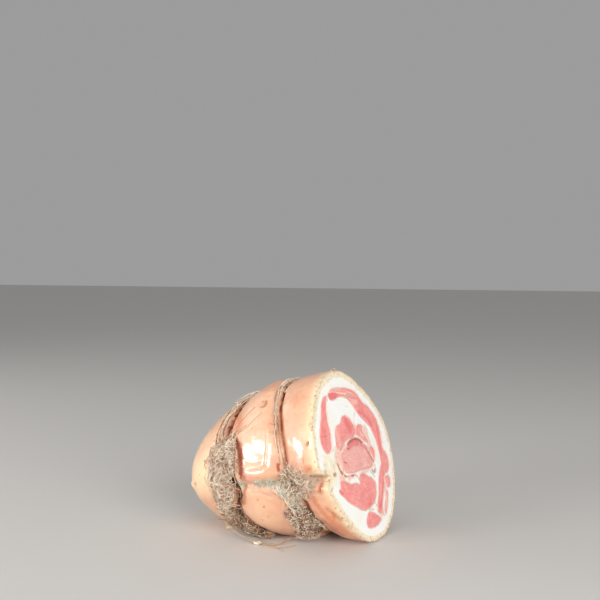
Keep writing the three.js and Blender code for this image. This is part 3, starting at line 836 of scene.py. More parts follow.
section = made(
    tree, "GeometryNodeSwitch", {0: given["Two Plies"], 1: ply, 2: bothPlies.outputs[0]},
    input_type="GEOMETRY")
swept = made(tree, "GeometryNodeCurveToMesh", {
    "Curve": chain, "Profile Curve": section, "Scale": ownMark(tree, "thick"), "Fill Caps": True})
swept = aboveGround(tree, swept, 0.0001)
closeTree(tree, made(tree, "GeometryNodeSetShadeSmooth", {"Geometry": swept}), given, result)
twineTree = tree


# run a tree on a carrier and keep the result as a plain mesh
def grow(name, carrier, tree, sizes):
    modifier = carrier.modifiers.new("growth", "NODES")
    modifier.node_group = tree
    for item in tree.interface.items_tree:
        if item.in_out == "INPUT" and item.name in sizes:
            value = sizes[item.name]
            modifier[item.identifier] = float(value) if item.socket_type == "NodeSocketFloat" else value
    carrier.update_tag()
    graph = bpy.context.evaluated_depsgraph_get()
    mesh = bpy.data.meshes.new_from_object(
        carrier.evaluated_get(graph), preserve_all_data_layers=True, depsgraph=graph)
    carrier.modifiers.remove(modifier)
    mesh.name = name
    return addObject(name, mesh)


# chains of points as bare edges, each with its own thickness and tone
def chainCarrier(name, chains):
    points, edges, thick, tones = [], [], [], []
    for chain in chains:
        first = len(points)
        count = len(chain["points"])
        points += [tuple(np.asarray(p) * metre) for p in chain["points"]]
        edges += [(first + i, first + i + 1) for i in range(count - 1)]
        thick += list(np.broadcast_to(chain.get("thick", 1.0), count))
        tones += list(np.broadcast_to(chain.get("tone", 0.5), count))
    mesh = bpy.data.meshes.new(name)
    mesh.from_pydata(points, edges, [])
    addMarks(mesh, {"thick": thick, "fibreTone": tones})
    return addObject(name, mesh)


def growTwine(name, chains, sizes):
    carrier = chainCarrier(name + "Path", chains)
    piece = grow(name, carrier, twineTree, sizes)
    bpy.data.objects.remove(carrier)
    return piece


# inputs of the twine's tree for a strand of two plies
def plySizes(look):
    return {"Ply Radius": look["plyRadius"] * metre, "Ply Offset": look["plyOffset"] * metre,
            "Turns": look["turnsPerMetre"], "Two Plies": True, "Material": twineMaterial}


def growFibres(name, carrier, sizes, material):
    return grow(name, carrier, fibreTree, {**sizes, "Material": material})


print("node trees built")

# loose strand of twine that hangs from the left wad and goes back under the roll
looseTwine = {
    "path": [(-36.4, -26.8, 11), (-32.2, -30.2, 8.4), (-22.7, -32.4, 4.4), (-17, -33.8, 2.8), (-9, -36, 1.2),
             (-1.5, -36.8, 0.8), (6, -36.2, 0.8), (10.6, -31.4, 0.9), (12.6, -24.2, 1.3), (14.2, -19.6, 2)],
    "diameter": 1.4,
    "plyRadius": 0.36,
    "plyOffset": 0.33,
    "turnsPerMetre": 210.0,
}
loosePoints = evenCurve(looseTwine["path"], 1.0)
looseStrand = growTwine(
    "looseTwine", [{"points": loosePoints, "tone": 0.5}],
    {**plySizes(looseTwine), "Step": 0.0006, "Wander": 0.0, "Sides": 8})
looseEnds = [  # thinner strands of the same twine: points, thickness
    ([(-36.2, -27.2, 11), (-39.4, -30.2, 11.6), (-42.6, -32.4, 13.6), (-45.2, -34, 14.6)], 0.5),
    ([(-36.2, -27.2, 11), (-37.2, -30.8, 12.4), (-38.6, -33.8, 14.6), (-40.6, -35.8, 16.4)], 0.4),
    ([(-16.4, -34, 2.9), (-11, -37.4, 3), (-3, -39.4, 1.9), (5, -40.4, 1.1), (12, -40.2, 0.7),
      (18.5, -35.8, 0.8), (22.6, -31.8, 1.4)], 0.42),
    ([(10.6, -40, 0.8), (14.4, -42.8, 0.6), (19, -45.6, 0.8)], 0.3),
]
looseFray = growTwine(
    "looseTwineFray",
    [{"points": evenCurve(points, 1.2), "thick": thickness, "tone": 0.45} for points, thickness in looseEnds],
    {"Step": 0.001, "Ply Radius": 0.00062, "Two Plies": False, "Wander": 0.0004, "Sides": 6, "Turns": 60,
     "Material": twineMaterial})
place(looseStrand, "twine", "twine_loose_strand")
place(looseFray, "twine")


# lump made by pushing a small ball about
def roughBall(name, centre, size, seed, roughness, material, shade, rings=12, sides=18):
    theta = np.linspace(0, math.pi, rings + 2)[1:-1]
    phi = np.arange(sides) / sides * 2 * math.pi
    spots = [(math.sin(t) * math.cos(p), math.sin(t) * math.sin(p), math.cos(t)) for t in theta for p in phi]
    spots = np.array([(0, 0, 1), *spots, (0, 0, -1)])
    push = 1 + roughness * layeredNoise(spots * 5, 3.2, seed)
    points = softGround(np.array(centre) + spots * np.array(size) * push[:, None], 0.3)
    faces = [(0, 1 + j, 1 + (j + 1) % sides) for j in range(sides)]
    faces += gridFaces(rings, sides, True, 1, False)
    last = 1 + (rings - 1) * sides
    faces += [(len(points) - 1, last + (j + 1) % sides, last + j) for j in range(sides)]
    tones = np.clip(shade + 0.25 * softNoise(spots * 4, 1.0, seed + 3), 0, 1)
    return makeMesh(name, points, facesOut(points, faces), material, {"fibreTone": tones})


looseKnot = roughBall("looseTwineKnot", (-30.6, -31.4, 7.6), (2.1, 1.6, 1.8), 3, 0.35, twineMaterial, 0.45)
looseLump = roughBall("looseTwineLump", (-4.4, -38.2, 1.4), (3.2, 1.5, 1.2), 5, 0.4, twineMaterial, 0.95)
place(looseKnot, "twine")
place(looseLump, "twine")

# matted fibre lumps: depth, angle, half length, half width, height
wads = {
    "left": [(79, 164, 17, 13, 5.6), (84.5, 178, 12, 13, 5), (88, 196, 11, 13, 3.8), (90, 216, 10, 14, 3.2),
             (87, 232, 10, 12, 4.6), (80, 241, 11, 9, 9), (71, 245, 8, 8, 7.4)],
    "right": [(23, 186, 11, 9, 4), (16, 190, 8, 8, 2.6), (27, 199, 9, 8, 4)],
    "lower": [(34, 219, 8.5, 8, 4), (31, 232, 12, 10, 3.6), (36, 246, 11, 9, 2.8)],
}


# height of a wad above the rind, less than zero outside it
def wadHeight(lumps, depth, angle):
    best = np.full(np.shape(depth), -4.0)
    for atDepth, atAngle, halfLength, halfWidth, height in lumps:
        ground = bodyRadius(np.float64(atDepth), np.float64(atAngle))
        away = ((depth - atDepth) / halfLength) ** 2
        away = away + (np.radians(turnBetween(angle, atAngle)) * ground / halfWidth) ** 2
        lump = height * np.clip(1 - away, 0, 1) ** 0.7
        best = np.maximum(best, np.where(away < 1, lump, -2.2 * (away - 1)))
    return best


# marks on the rind: width, strength, dent, chains of places as depth and angle
skinMarks = {
    "brown": [
        (0.6, 0.8, 0.3, [(38, 100)], [(46, 108)], [(20, 112)], [(16, 130)], [(22, 146)], [(12, 158)],
         [(52, 118)], [(44, 158)], [(56, 164)], [(20, 164)]),
        (0.8, 0.8, 0.3, [(1.5, 141.5)], [(1, 149.9)], [(0.8, 154)], [(1.2, 233)], [(100.5, 226.9)],
         [(102, 205.3)], [(106, 188)], [(96, 196)]),
        (1.0, 0.4, 0.3, [(54.3, 175.7), (47.2, 175.3), (40.1, 173.6)],
         [(61.5, 191.2), (52.5, 191.6), (43.7, 189.5)]),
        (1.2, 0.8, 0.8, [(56, 188.4), (47, 188.1), (40.7, 187.6)]),
        (0.8, 0.4, 0.3, [(41, 141.6), (50, 146.4), (60, 150.4), (67, 153)]),
        (0.8, 0.3, 0.3, [(52, 129), (60, 133.4), (68, 138.6)]),
        (1.2, 0.8, 0.3, [(46.6, 132.2), (43.6, 132.4), (42.7, 129.7), (44.6, 127.4), (47, 127.6)]),
        (1.6, 0.5, 0.1, [(44.6, 130)]), (1.4, 0.8, 0.5, [(4.5, 162), (5.4, 163)]),
        (1.2, 0.5, 0.1, [(7.6, 178.3)]), (1.8, 0.5, 0.3, [(117, 186), (119.5, 189)]),
        (3.0, 0.9, 0.0, [(66.5, 153), (64.4, 158), (63.4, 163), (63.2, 170), (63.6, 177)]),
    ],
    "crease": [
        (0.8, 0.0, 0.3, [(36, 118), (42, 122), (50, 128)], [(60, 168), (52, 171), (44, 170)]),
        (1.0, 0.0, -0.5, [(56, 143.4), (64, 143.2), (72.4, 142.9)]),
        (0.8, 0.0, 0.5, [(39.1, 150), (39, 158), (39.4, 164), (41.6, 173)]),
        (0.6, 0.0, 0.3, [(57, 175.4), (50, 175), (43.6, 176.6)]),
    ],
    # dark: partly dark stain, partly painted shade in the pits, holes, slit and notch that the dents make;
    # the last row, without a dent, is the stain's dark edge
    "dark": [
        (0.8, 0.8, 0.3, [(32.4, 130.3), (31.9, 136.2)], [(53.8, 216.3)], [(59.7, 219.1)], [(57, 200.9)],
         [(53.9, 207.3)], [(2, 224)], [(4.2, 161.4)]),
        (0.4, 0.8, 0.3, [(33.6, 138)], [(31.9, 146.2)], [(30.5, 152.9)], [(30, 158.6)], [(29.4, 166.1)]),
        (1.2, 0.9, 0.5, [(75.8, 112.4), (76.4, 115)], [(77, 119), (78.2, 121.6)],
         [(78.3, 133.4), (79.4, 139.2)]),
        (0.8, 0.9, 0.8, [(27.4, 201.3), (27.9, 204.6)], [(28.1, 213), (28.7, 214.7)]),
        (2.5, 1.0, 2.0, [(77.2, 182.4), (75, 187), (72.4, 192.5), (72.2, 198), (76, 203)]),
        (1.6, 0.9, 0.5, [(76, 203), (79.6, 209), (78.6, 218), (74.6, 225), (69, 232), (64.6, 238)]),
        (1.4, 1.0, 0.5, [(75.6, 104), (76.4, 108)]), (1.2, 0.8, 0.5, [(74, 150.6), (70.5, 146)]),
        (1.2, 1.0, 0.5, [(34.7, 109.8), (33, 113)]), (1.0, 0.9, 0.5, [(34.2, 116.4), (33, 121), (32, 125.5)]),
        (0.8, 1.0, 0.8, [(34.1, 189.1), (35.4, 186.6)]),
        (1.0, 0.9, 0.8, [(9.6, 184.1), (5.7, 185.3), (2.6, 186)]),
        (0.8, 0.5, 0.5, [(121, 187), (118, 184.5)]),
        (2.6, 0.6, 0.0, [(66.6, 153.4), (64.2, 158), (63, 164), (62.8, 171), (63.6, 177)]),
    ],
    "orange": [
        (4.5, 0.9, 0.0, [(77.2, 117.6), (69.7, 132.2), (66, 139.5), (70, 146)]),
        (2.0, 1.0, 0.3, [(4.4, 190.6), (5.2, 192.5), (6.7, 197.4)]),
        (2.5, 1.0, 0.1, [(8.6, 178), (6.6, 178.6)]), (1.6, 0.9, 0.1, [(5.4, 217.2), (8.4, 226)]),
        (3.5, 0.9, 0.1, [(12.4, 218), (10.5, 225), (9.4, 234), (8, 243)]),
        (2.5, 0.9, 0.0, [(14.4, 203.4), (14.6, 210), (12, 216)]),
    ],
    "pink": [
        (1.4, 0.6, 0.5, [(63, 179), (56, 181.4), (48, 182)]),
        (1.6, 0.6, 0.5, [(60, 194), (52, 195), (44, 199)]),
    ],
    "red": [
        (1.6, 0.8, 0.3, [(66.4, 153.4), (63.2, 158), (61.8, 163), (61.8, 170), (61.6, 176), (63.8, 181)]),
        (2.0, 0.8, 0.5, [(74, 113), (76.4, 120), (78, 128), (79.6, 136), (80, 142)]),
        (1.2, 1.0, 0.5, [(32, 178.7), (32.2, 174.6)]),
    ],
    "soil": [
        (5.0, 0.9, 0.0, [(6, 190), (12, 187), (18, 186)]),
    ],
    "stain": [
        (3.0, 0.8, 0.0, [(78, 212), (76.4, 219), (72.4, 225.4), (67, 232)]),
        (4.0, 1.0, 0.1, [(72, 150.4), (65.6, 155), (62.4, 160), (61, 166), (61, 173), (62, 180)]),
        (2.5, 0.9, 0.0, [(64.7, 188.8), (66.7, 194), (70, 202), (75, 208)]),
        (1.4, 0.9, 0.5, [(5, 192), (6.4, 196.4)]), (2.0, 0.5, 0.1, [(8.1, 213), (5.2, 218.6), (3.4, 226)]),
        (3.5, 0.7, 0.1, [(16, 226), (14.4, 236), (13.1, 246.5)]),
        (2.5, 0.5, 0.1, [(20, 219), (18, 228), (19, 237), (17.5, 241)]),
    ],
}
# broad tints: depth, angle, half length, half angle, strength
skinTints = {
    "cream": [
        # the cream at depth 104, angle 130 is painted light on the dome's upper side, over its own cream tone
        (104, 176, 26, 30, 1.0), (120, 176, 14, 90, 0.6), (100, 20, 34, 90, 0.8), (3, 150, 4, 62, 0.6),
        (62, 220, 13, 17, 0.25), (106, 214, 16, 16, 0.4), (104, 130, 16, 20, 0.45), (122, 20, 16, 120, 0.6)],
    "orange": [
        # the orange at depth 48, angle 110 is painted shade on the top between the rings
        (48, 110, 14, 12, 0.3), (62, 240, 18, 14, 0.45), (12, 236, 12, 20, 0.8), (14, 256, 14, 16, 0.75),
        (7, 247, 9, 14, 0.5), (8, 216, 8, 12, 0.45), (106, 218, 18, 20, 0.55), (84, 262, 16, 14, 0.7),
        (96, 122, 20, 22, 0.2), (52, 252, 14, 14, 0.5), (30, 300, 26, 30, 0.35)],
    "pink": [
        (20, 205, 8, 12, 0.85), (17, 178, 9, 10, 0.7), (34, 172, 6, 10, 0.6), (57, 180, 8, 8, 0.7),
        (66, 205, 6, 9, 0.5), (50, 140, 16, 16, 0.3), (90, 240, 18, 26, 0.3), (46, 330, 12, 20, 0.35)],
    "mould": [
        (50, 187.4, 8, 4.5, 0.9), (42, 188, 6, 5, 1.0), (36, 193, 5, 7, 1.0), (31.5, 200, 4.5, 7, 1.0),
        (30.4, 211, 4, 7, 0.9), (67.6, 187.4, 3.6, 5, 0.85), (6.4, 182.6, 2.4, 1.3, 0.8)],
    "soil": [(3.5, 187, 6, 7, 0.45), (30, 180, 6, 5, 0.4)],
}

rindSkin = {"columns": 352, "rowsToFront": 46, "rowsBetween": 82, "rowsToTip": 84, "recess": 3.4}


def rindBand(angle):
    return 3.5 + 0.6 * np.cos(np.radians(angle - 40)) + 0.35 * np.cos(3 * np.radians(angle - 100))


def rimPoint(angle, inward):
    plain = bodyRadius(np.zeros_like(angle), angle)
    radius = plain + skinRelief(0 * angle, angle, rollPoint(0 * angle, angle, plain)) - inward
    across = roll["section"][0] + radius * np.cos(np.radians(angle))
    upward = roll["section"][1] + radius * np.sin(np.radians(angle))
    return across, upward


def mouldCover(depth, angle):
    cover = np.zeros(np.shape(depth))
    for *spot, _ in skinTints["mould"]:
        cover = np.maximum(cover, patchShare(depth, angle, *spot))
    return cover


# heights and depths of the rind's fine relief
skinRise = {
    "pucker": 0.5, "swell": 0.35, "grain": 0.14, "frontCrease": 0.15, "backCrease": 0.3, "frontFold": 0.5,
    "lips": 0.7, "lipAngle": 6.5, "slit": 0.9, "mouldGrain": 0.55, "mould": 0.2, "rim": 0.7, "calmTip": 12,
}


def skinRelief(depth, angle, spots):
    fromFront = depth - ringDepth(frontRing, angle)
    fromBack = depth - ringDepth(backRing, angle)
    folded = spots * np.array([0.16, 1, 1])
    nearRings = bell(fromFront, 9) + bell(fromBack, 11)
    height = skinRise["pucker"] * nearRings * layeredNoise(folded, 4.2, 11, 2)
    height = height + skinRise["swell"] * softNoise(spots, 12, 21)
    height = height + skinRise["grain"] * layeredNoise(spots, 3.6, 31)
    height = height - skinRise["frontCrease"] * bell(fromFront, 1.1)
    height = height - skinRise["backCrease"] * bell(fromBack, 1.2)
    creased = ease(softNoise(folded, 7, 41), -0.3, 0.6)
    height = height + skinRise["frontFold"] * bell(fromFront + 4.2, 2.2) * creased
    lips = turnBetween(angle, seam["angle"])
    reach = ease(seam["reach"] - depth, 0, seam["fade"])
    bothLips = bell(lips - skinRise["lipAngle"], 2.6) + bell(lips + skinRise["lipAngle"], 2.6)
    height = height + skinRise["lips"] * reach * bothLips * (0.6 + 0.5 * softNoise(spots, 5, 51))
    height = height - skinRise["slit"] * reach * bell(lips, 0.9)
    furry = skinRise["mouldGrain"] * layeredNoise(spots, 1.9, 61) + skinRise["mould"]
    height = height + mouldCover(depth, angle) * furry
    height = height + skinRise["rim"] * bell(depth, 2.2) * layeredNoise(spots, 4.2, 63)
    return height * ease(roll["length"] - depth, 0, skinRise["calmTip"])


# rind surface with its fine relief, moved out by a lift
def onSkin(depth, angle, lift=0.0):
    depth, angle = np.broadcast_arrays(np.asarray(depth, float), np.asarray(angle, float))
    radius = bodyRadius(depth, angle)
    relief = skinRelief(depth, angle, rollPoint(depth, angle, radius))
    return rollPoint(depth, angle, radius + relief + lift)


def easedShares(count):
    even = np.arange(count) / count
    return 0.5 * even + 0.5 * (0.5 - 0.5 * np.cos(math.pi * even))


# depths of the skin's rows, closer together at the cut, the two rings and the tip
def skinRows(angle):
    front, back = ringDepth(frontRing, angle), ringDepth(backRing, angle)
    rows = [np.maximum(share * front, 0.3) for share in easedShares(rindSkin["rowsToFront"])]
    rows += [front + share * (back - front) for share in easedShares(rindSkin["rowsBetween"])]
    shares = np.arange(rindSkin["rowsToTip"]) / rindSkin["rowsToTip"]
    rows += [back + (roll["length"] - back) * (0.35 * s + 0.65 * math.sin(s * math.pi / 2)) for s in shares]
    return np.array(rows)


# smears of dirt and juice along the two rings, with painted shade deep in the front ring's groove: kind,
# strength, distance from the middle, width
def ringSmears(depth, angles, plain):
    fromFront, fromBack = depth - ringDepth(frontRing, angles), depth - ringDepth(backRing, angles)
    deepest = 0.7 * bell(turnBetween(angles, 118), 22) * ease(softNoise(plain, 5, 83), -0.5, 0.3)
    seeping = ease(softNoise(plain, 4.4, 85), -0.6, 0.3) * bell(turnBetween(angles, 124), 24)
    specks = ease(layeredNoise(plain, 3.4, 87), 0.0, 0.4) * bell(turnBetween(angles, 120), 24)
    return [
        # the first dark smear is painted shade in the front ring's groove, with dark stain
        ("dark", 0.6 * deepest, fromFront - 0.3, 0.9), ("brown", 0.9, fromFront - 0.2, 1.6),
        ("red", 0.6, fromFront - 0.2, 1.2), ("soil", 0.6, fromFront - 3.2, 2.4),
        ("red", 0.75, fromBack - 1.4, 1.6), ("brown", 0.9 * seeping, fromBack - 1.2, 3.0),
        ("dark", specks, fromBack - 1.8, 2.2), ("orange", 0.8 * seeping, fromBack + 2, 4.0),
        ("stain", 0.6, fromBack - 0.4, 2.8), ("soil", 0.7, fromBack - 5, 4.0)]


# marks of the rind by kind, and how deep its dents go
def paintSkin(depth, angles, plain):
    marks = {kind: np.zeros(depth.shape) for kind in (
        "dark", "brown", "red", "stain", "mould", "cream", "orange", "pink", "soil", "cutBand")}
    dent = np.zeros(depth.shape)
    wobble = softNoise(plain, 1.6, 71)
    for kind, width, strength, dip, *chains in rowsOf(skinMarks):
        distance = nearChains(plain, chains, 1.0, onRoll) + 0.35 * width * wobble
        if kind in marks:
            marks[kind] = np.maximum(marks[kind], strength * bell(distance, width))
        dent = np.maximum(dent, dip * bell(distance, width * 0.8))
    for kind, *spot, strength in rowsOf(skinTints):
        marks[kind] = np.maximum(marks[kind], strength * patchShare(depth, angles, *spot))
    ridge = 0.75 + 0.35 * layeredNoise(plain, 6, 81)
    for kind, strength, away, width in ringSmears(depth, angles, plain):
        marks[kind] = np.maximum(marks[kind], strength * bell(away, width) * ridge)
    for lumps in wads.values():
        near = ease(wadHeight(lumps, depth, angles), -1.8, 0.2) * ease(depth, 2, 12)
        marks["soil"] = np.maximum(marks["soil"], 0.8 * near)
        marks["brown"] = np.maximum(marks["brown"], 0.3 * near)
    marks["cutBand"] = 0.9 * ease(5.6 - depth + 1.2 * softNoise(plain, 7, 91), 0, 5.6)
    return marks, dent


# the rind turns over the edge of the cut and goes down under the fat
def bandRings(angle):
    rings = []
    for inward, height in ((0.3, -0.03), (0.9, -0.16), (1.8, -0.6), (2.0, -rindSkin["recess"])):
        across, upward = rimPoint(angle, inward)
        rings.append(cutPoint(across, upward, np.full(len(angle), height)))
    return np.array(rings[::-1])


def buildRind():
    columns = rindSkin["columns"]
    angle = seam["angle"] + np.arange(columns) / columns * 360
    depth = skinRows(angle)
    angles = np.broadcast_to(angle, depth.shape)
    radius = bodyRadius(depth, angles)
    plain = rollPoint(depth, angles, radius)
    marks, dent = paintSkin(depth, angles, plain)
    radius = radius + skinRelief(depth, angles, plain)
    radius[0] -= 0.1
    skin = rollPoint(depth, angles, radius)
    axis = rollPoint(depth, angles, 0 * radius)
    inward = (axis - skin) / np.maximum(np.linalg.norm(axis - skin, axis=-1, keepdims=True), 1e-6)
    skin = skin + inward * dent[..., None]
    nubPlace = onRoll(np.array([[nub["depth"], nub["angle"]]]))[0]
    away = np.linalg.norm(skin - nubPlace, axis=-1)
    skin[..., 0] -= nub["height"] * bell(away, nub["width"]) * (1 + 0.25 * softNoise(skin, 1.6, 95))
    skin[..., 0] += 0.7 * bell(chainDistance(skin, [nubPlace + (-2, -1, 2.6), nubPlace + (2, -3, -2.6)]), 0.8)

    band = bandRings(angle)
    rings = np.concatenate([band, skin])
    for key in marks:
        rim = np.zeros((len(band), columns))
        if key == "cutBand":
            rim[:] = 1.0
        marks[key] = np.concatenate([rim, marks[key]])
    count = rings.shape[0]
    floorCentre = cutPoint(*[np.array(v) for v in roll["section"]], np.array(-rindSkin["recess"]))
    tip = rollPoint(roll["length"], 0.0, 0.0)
    tip[0] -= nub["height"] * float(bell(np.linalg.norm(tip - nubPlace), nub["width"]))
    points = np.vstack([softGround(rings.reshape(-1, 3)), floorCentre[None], tip[None]])
    faces = gridFaces(count, columns)
    first, last = count * columns, count * columns + 1
    faces += [(first, j, (j + 1) % columns) for j in range(columns)]
    edge = (count - 1) * columns
    faces += [(last, edge + (j + 1) % columns, edge + j) for j in range(columns)]
    marks = {key: np.r_[values.ravel(), 0, values[-1].mean()] for key, values in marks.items()}
    return makeMesh("rindSkin", points, facesOut(points, faces), rindSkinMaterial, marks)


rindPiece = place(buildRind(), "rind", "rind_and_fat")
print("rind", len(rindPiece.data.polygons), "faces")

# lean muscles as outlines on the cut: sideways and up
leans = {
    "lean_outer_band": [
        (-20, 47.2), (-14, 50.4), (-4, 50.2), (8, 48.4), (17, 46), (24, 41.5), (30, 34.8), (38, 29.6),
        (44.5, 22.4), (48.4, 14), (48.6, 5), (47.2, -3), (51.6, -9.6), (51.6, -16.5), (46.5, -21.2),
        (39.6, -22), (36.8, -28.5), (32.2, -34.6), (27.6, -41), (22.6, -46.2), (16.6, -44.4),
        (18, -40.4), (23.6, -33), (27.4, -25.4), (32.4, -18.6), (38, -13.4), (38.8, -3), (37, 7.5),
        (33, 15.4), (26, 21.6), (19, 27.6), (12.4, 35.6), (5, 41.8), (-3, 44), (-12, 43), (-18.2, 43.6)],
    "lean_side_strip": [
        (-22.6, 46.6), (-28, 46), (-32.4, 42), (-35, 36), (-39, 29.6), (-43, 22.5), (-43, 15),
        (-39, 9.6), (-34, 9.4), (-30, 13), (-27.8, 20), (-28, 29), (-27, 37), (-25, 41.5)],
    "lean_upper": [
        (-22.4, 18), (-18.6, 24), (-11.6, 25.6), (-7.5, 29), (-1.5, 29.6), (4.4, 26), (8, 20.6),
        (7.6, 15), (2.5, 13), (-5, 13.6), (-10.5, 12), (-17, 8.6), (-23, 10.4)],
    "lean_upper_right": [
        (10, 17), (13.6, 20.2), (21, 18.6), (19.6, 14.6), (22.6, 10.6), (25, 6.4), (21.5, 6.2),
        (17.4, 9.6), (12.6, 12), (9.8, 13.8)],
    "lean_right_strip": [(25, 1), (29, 1.4), (32.2, -2.4), (31.4, -6.8), (28.6, -8.8), (26.6, -4.4)],
    "core_muscle": [
        (-20, 4.6), (-13, 6.8), (-7, 9.6), (1, 11), (8, 10.4), (14.4, 6.6), (20.6, 2.6), (22.6, -2.6),
        (25.6, -9.2), (23, -12.2), (14, -12.2), (5, -11), (-6, -10.4), (-15, -9), (-20.4, -4.6)],
    "lean_lower": [
        (-32.8, -17.6), (-29.8, -16.6), (-28.6, -12.6), (-21.6, -13.4), (-14.6, -17), (-6, -18.2),
        (-1.6, -20.2), (0.4, -14.6), (7, -14.2), (13.6, -17.6), (20, -21), (22.8, -26), (19.6, -33),
        (13, -37.4), (4, -38.8), (-5, -37.8), (-13.5, -33), (-21.5, -28.6), (-28.6, -22.6)],
    "lean_bottom": [
        (1.6, -41.6), (7, -42.2), (13, -45.4), (19.4, -50.4), (13, -52.6), (4, -52.6), (-3.4, -50.4),
        (-3.8, -46.8)],
    "lean_right_lobe": [
        (41, -24.2), (45.4, -24.2), (47.8, -27.4), (45.4, -31.8), (41, -31.8), (39.4, -28)],
    "lean_thin_strip": [
        (37.6, -34.2), (39.6, -35), (36.6, -40.6), (32.4, -46), (28.2, -49), (28.8, -44.4), (33.4, -38.8)],
}
leanBuild = {"taper": 0.08, "stations": (1.2, 28.0, 60.0, 92.0), "spacing": 0.62, "inset": 0.36,
             "fibres": 0.1, "swell": 0.22, "borderDip": 0.32, "crown": 0.1}
# marks on the cut: width, strength, dent, chains of places as sideways and up
cutMarks = {
    "brown": [
        (1.6, 0.8, 0.5, [(22.4, -15), (25, -17.2), (27.2, -15.2)]),
        (1.2, 0.5, 0.3, [(28.2, -12.4), (27.2, -16)]), (1.6, 0.9, 0.5, [(-35, -6), (-33.2, -6.2)]),
        (1.0, 0.6, 0.3, [(-40, -13.5), (-43, -15)]), (0.8, 0.5, 0.3, [(-34, -4), (-33.4, 0.6)]),
        # the line from (22.8, -2) to (27.4, -9.8) is a brownish painted shadow
        (1.2, 0.8, 0.5, [(22.8, -2), (25.6, -7.6), (27.4, -9.8)]),
    ],
    "dark": [
        (0.6, 1.0, 0.8, [(-20.4, -9.8), (-18, -11)], [(-10.2, -11.8), (-7.4, -12.4)]),
        (0.6, 0.7, 0.8, [(19.2, -14.8), (21.6, -17.2), (24.2, -20.4)]),
        (0.8, 0.6, 0.5, [(-45.6, -3.4), (-42.4, -5)]),
    ],
    "green": [
        (1.6, 0.8, 0.5, [(-46, -2.4), (-43.6, -1)]), (1.4, 0.7, 0.3, [(-44.4, 3)]),
        (1.2, 0.5, 0.3, [(-30.6, 8.6), (-27, 11)]), (0.8, 0.8, 0.5, [(3.6, -39.8), (11.4, -41.4)]),
    ],
    "pinkish": [
        (1.2, 0.6, 0.0, [(15, -37), (20, -44), (26, -49.4)], [(-22.6, 44), (-21.4, 47)]),
        (0.8, 0.9, 0.5,
         [(-21, -5), (-20.6, -9.4), (-15, -11.2), (-10, -12), (-4.6, -12.6), (-1.4, -15.6), (0, -19.4)]),
        (1.2, 0.9, 0.3, [(14.6, 7), (21, 2.8), (23, -2.6), (26, -8)]),
        (1.6, 0.5, 0.0, [(9, 22), (12, 27), (14, 30)]), (1.4, 0.5, 0.0, [(22, 17), (26, 12), (27.4, 5)]),
        (1.2, 0.5, 0.0, [(2, 36), (7, 35)]), (1.6, 0.6, 0.0, [(8, 15.6), (9, 20)]),
        (1.6, 0.6, 0.1, [(-25, 4), (-20, 7.6), (-12, 10.4)]),
        (1.4, 0.5, 0.1, [(24, 4.6), (24.4, 0), (25.4, -4)]),
        (2.0, 0.9, 0.0, [(39.6, -22.6), (40.8, -26), (41.4, -29)]),
    ],
    "red": [
        (1.2, 0.8, 0.5, [(-26.4, -0.6), (-25.8, -4.2), (-23.4, -7.8)]),
        (1.0, 0.9, 0.5, [(4, 11.6), (8, 11.2), (11, 9.8), (14, 7.2)]),
        (1.2, 0.8, 0.3, [(-7, 9.8), (0, 11.4), (6, 11.2), (10.4, 10.2), (14.6, 7)]),
    ],
}
cutTints = {  # broad tints on the fat: sideways, up, half width, half height
    "jelly": [(-40, 2, 8, 9), (-32, -2, 8, 8), (-24, 0, 5, 9), (-38, -9, 7, 5), (-22, -9, 5, 4)],
    "web": [
        (-24, 4, 6, 8), (-16, 9, 8, 4), (0, 12.4, 9, 2.6), (15, 9, 6, 4.6), (25, 3, 4, 8), (24, -9, 4, 5),
        (10, -13, 10, 2.6), (-12, -12.4, 8, 2.4), (9.4, 17, 3, 6), (24, 13, 5, 6), (-25, -12, 6, 6),
        (36, -33, 3, 9), (22, -46, 6, 4)],
}
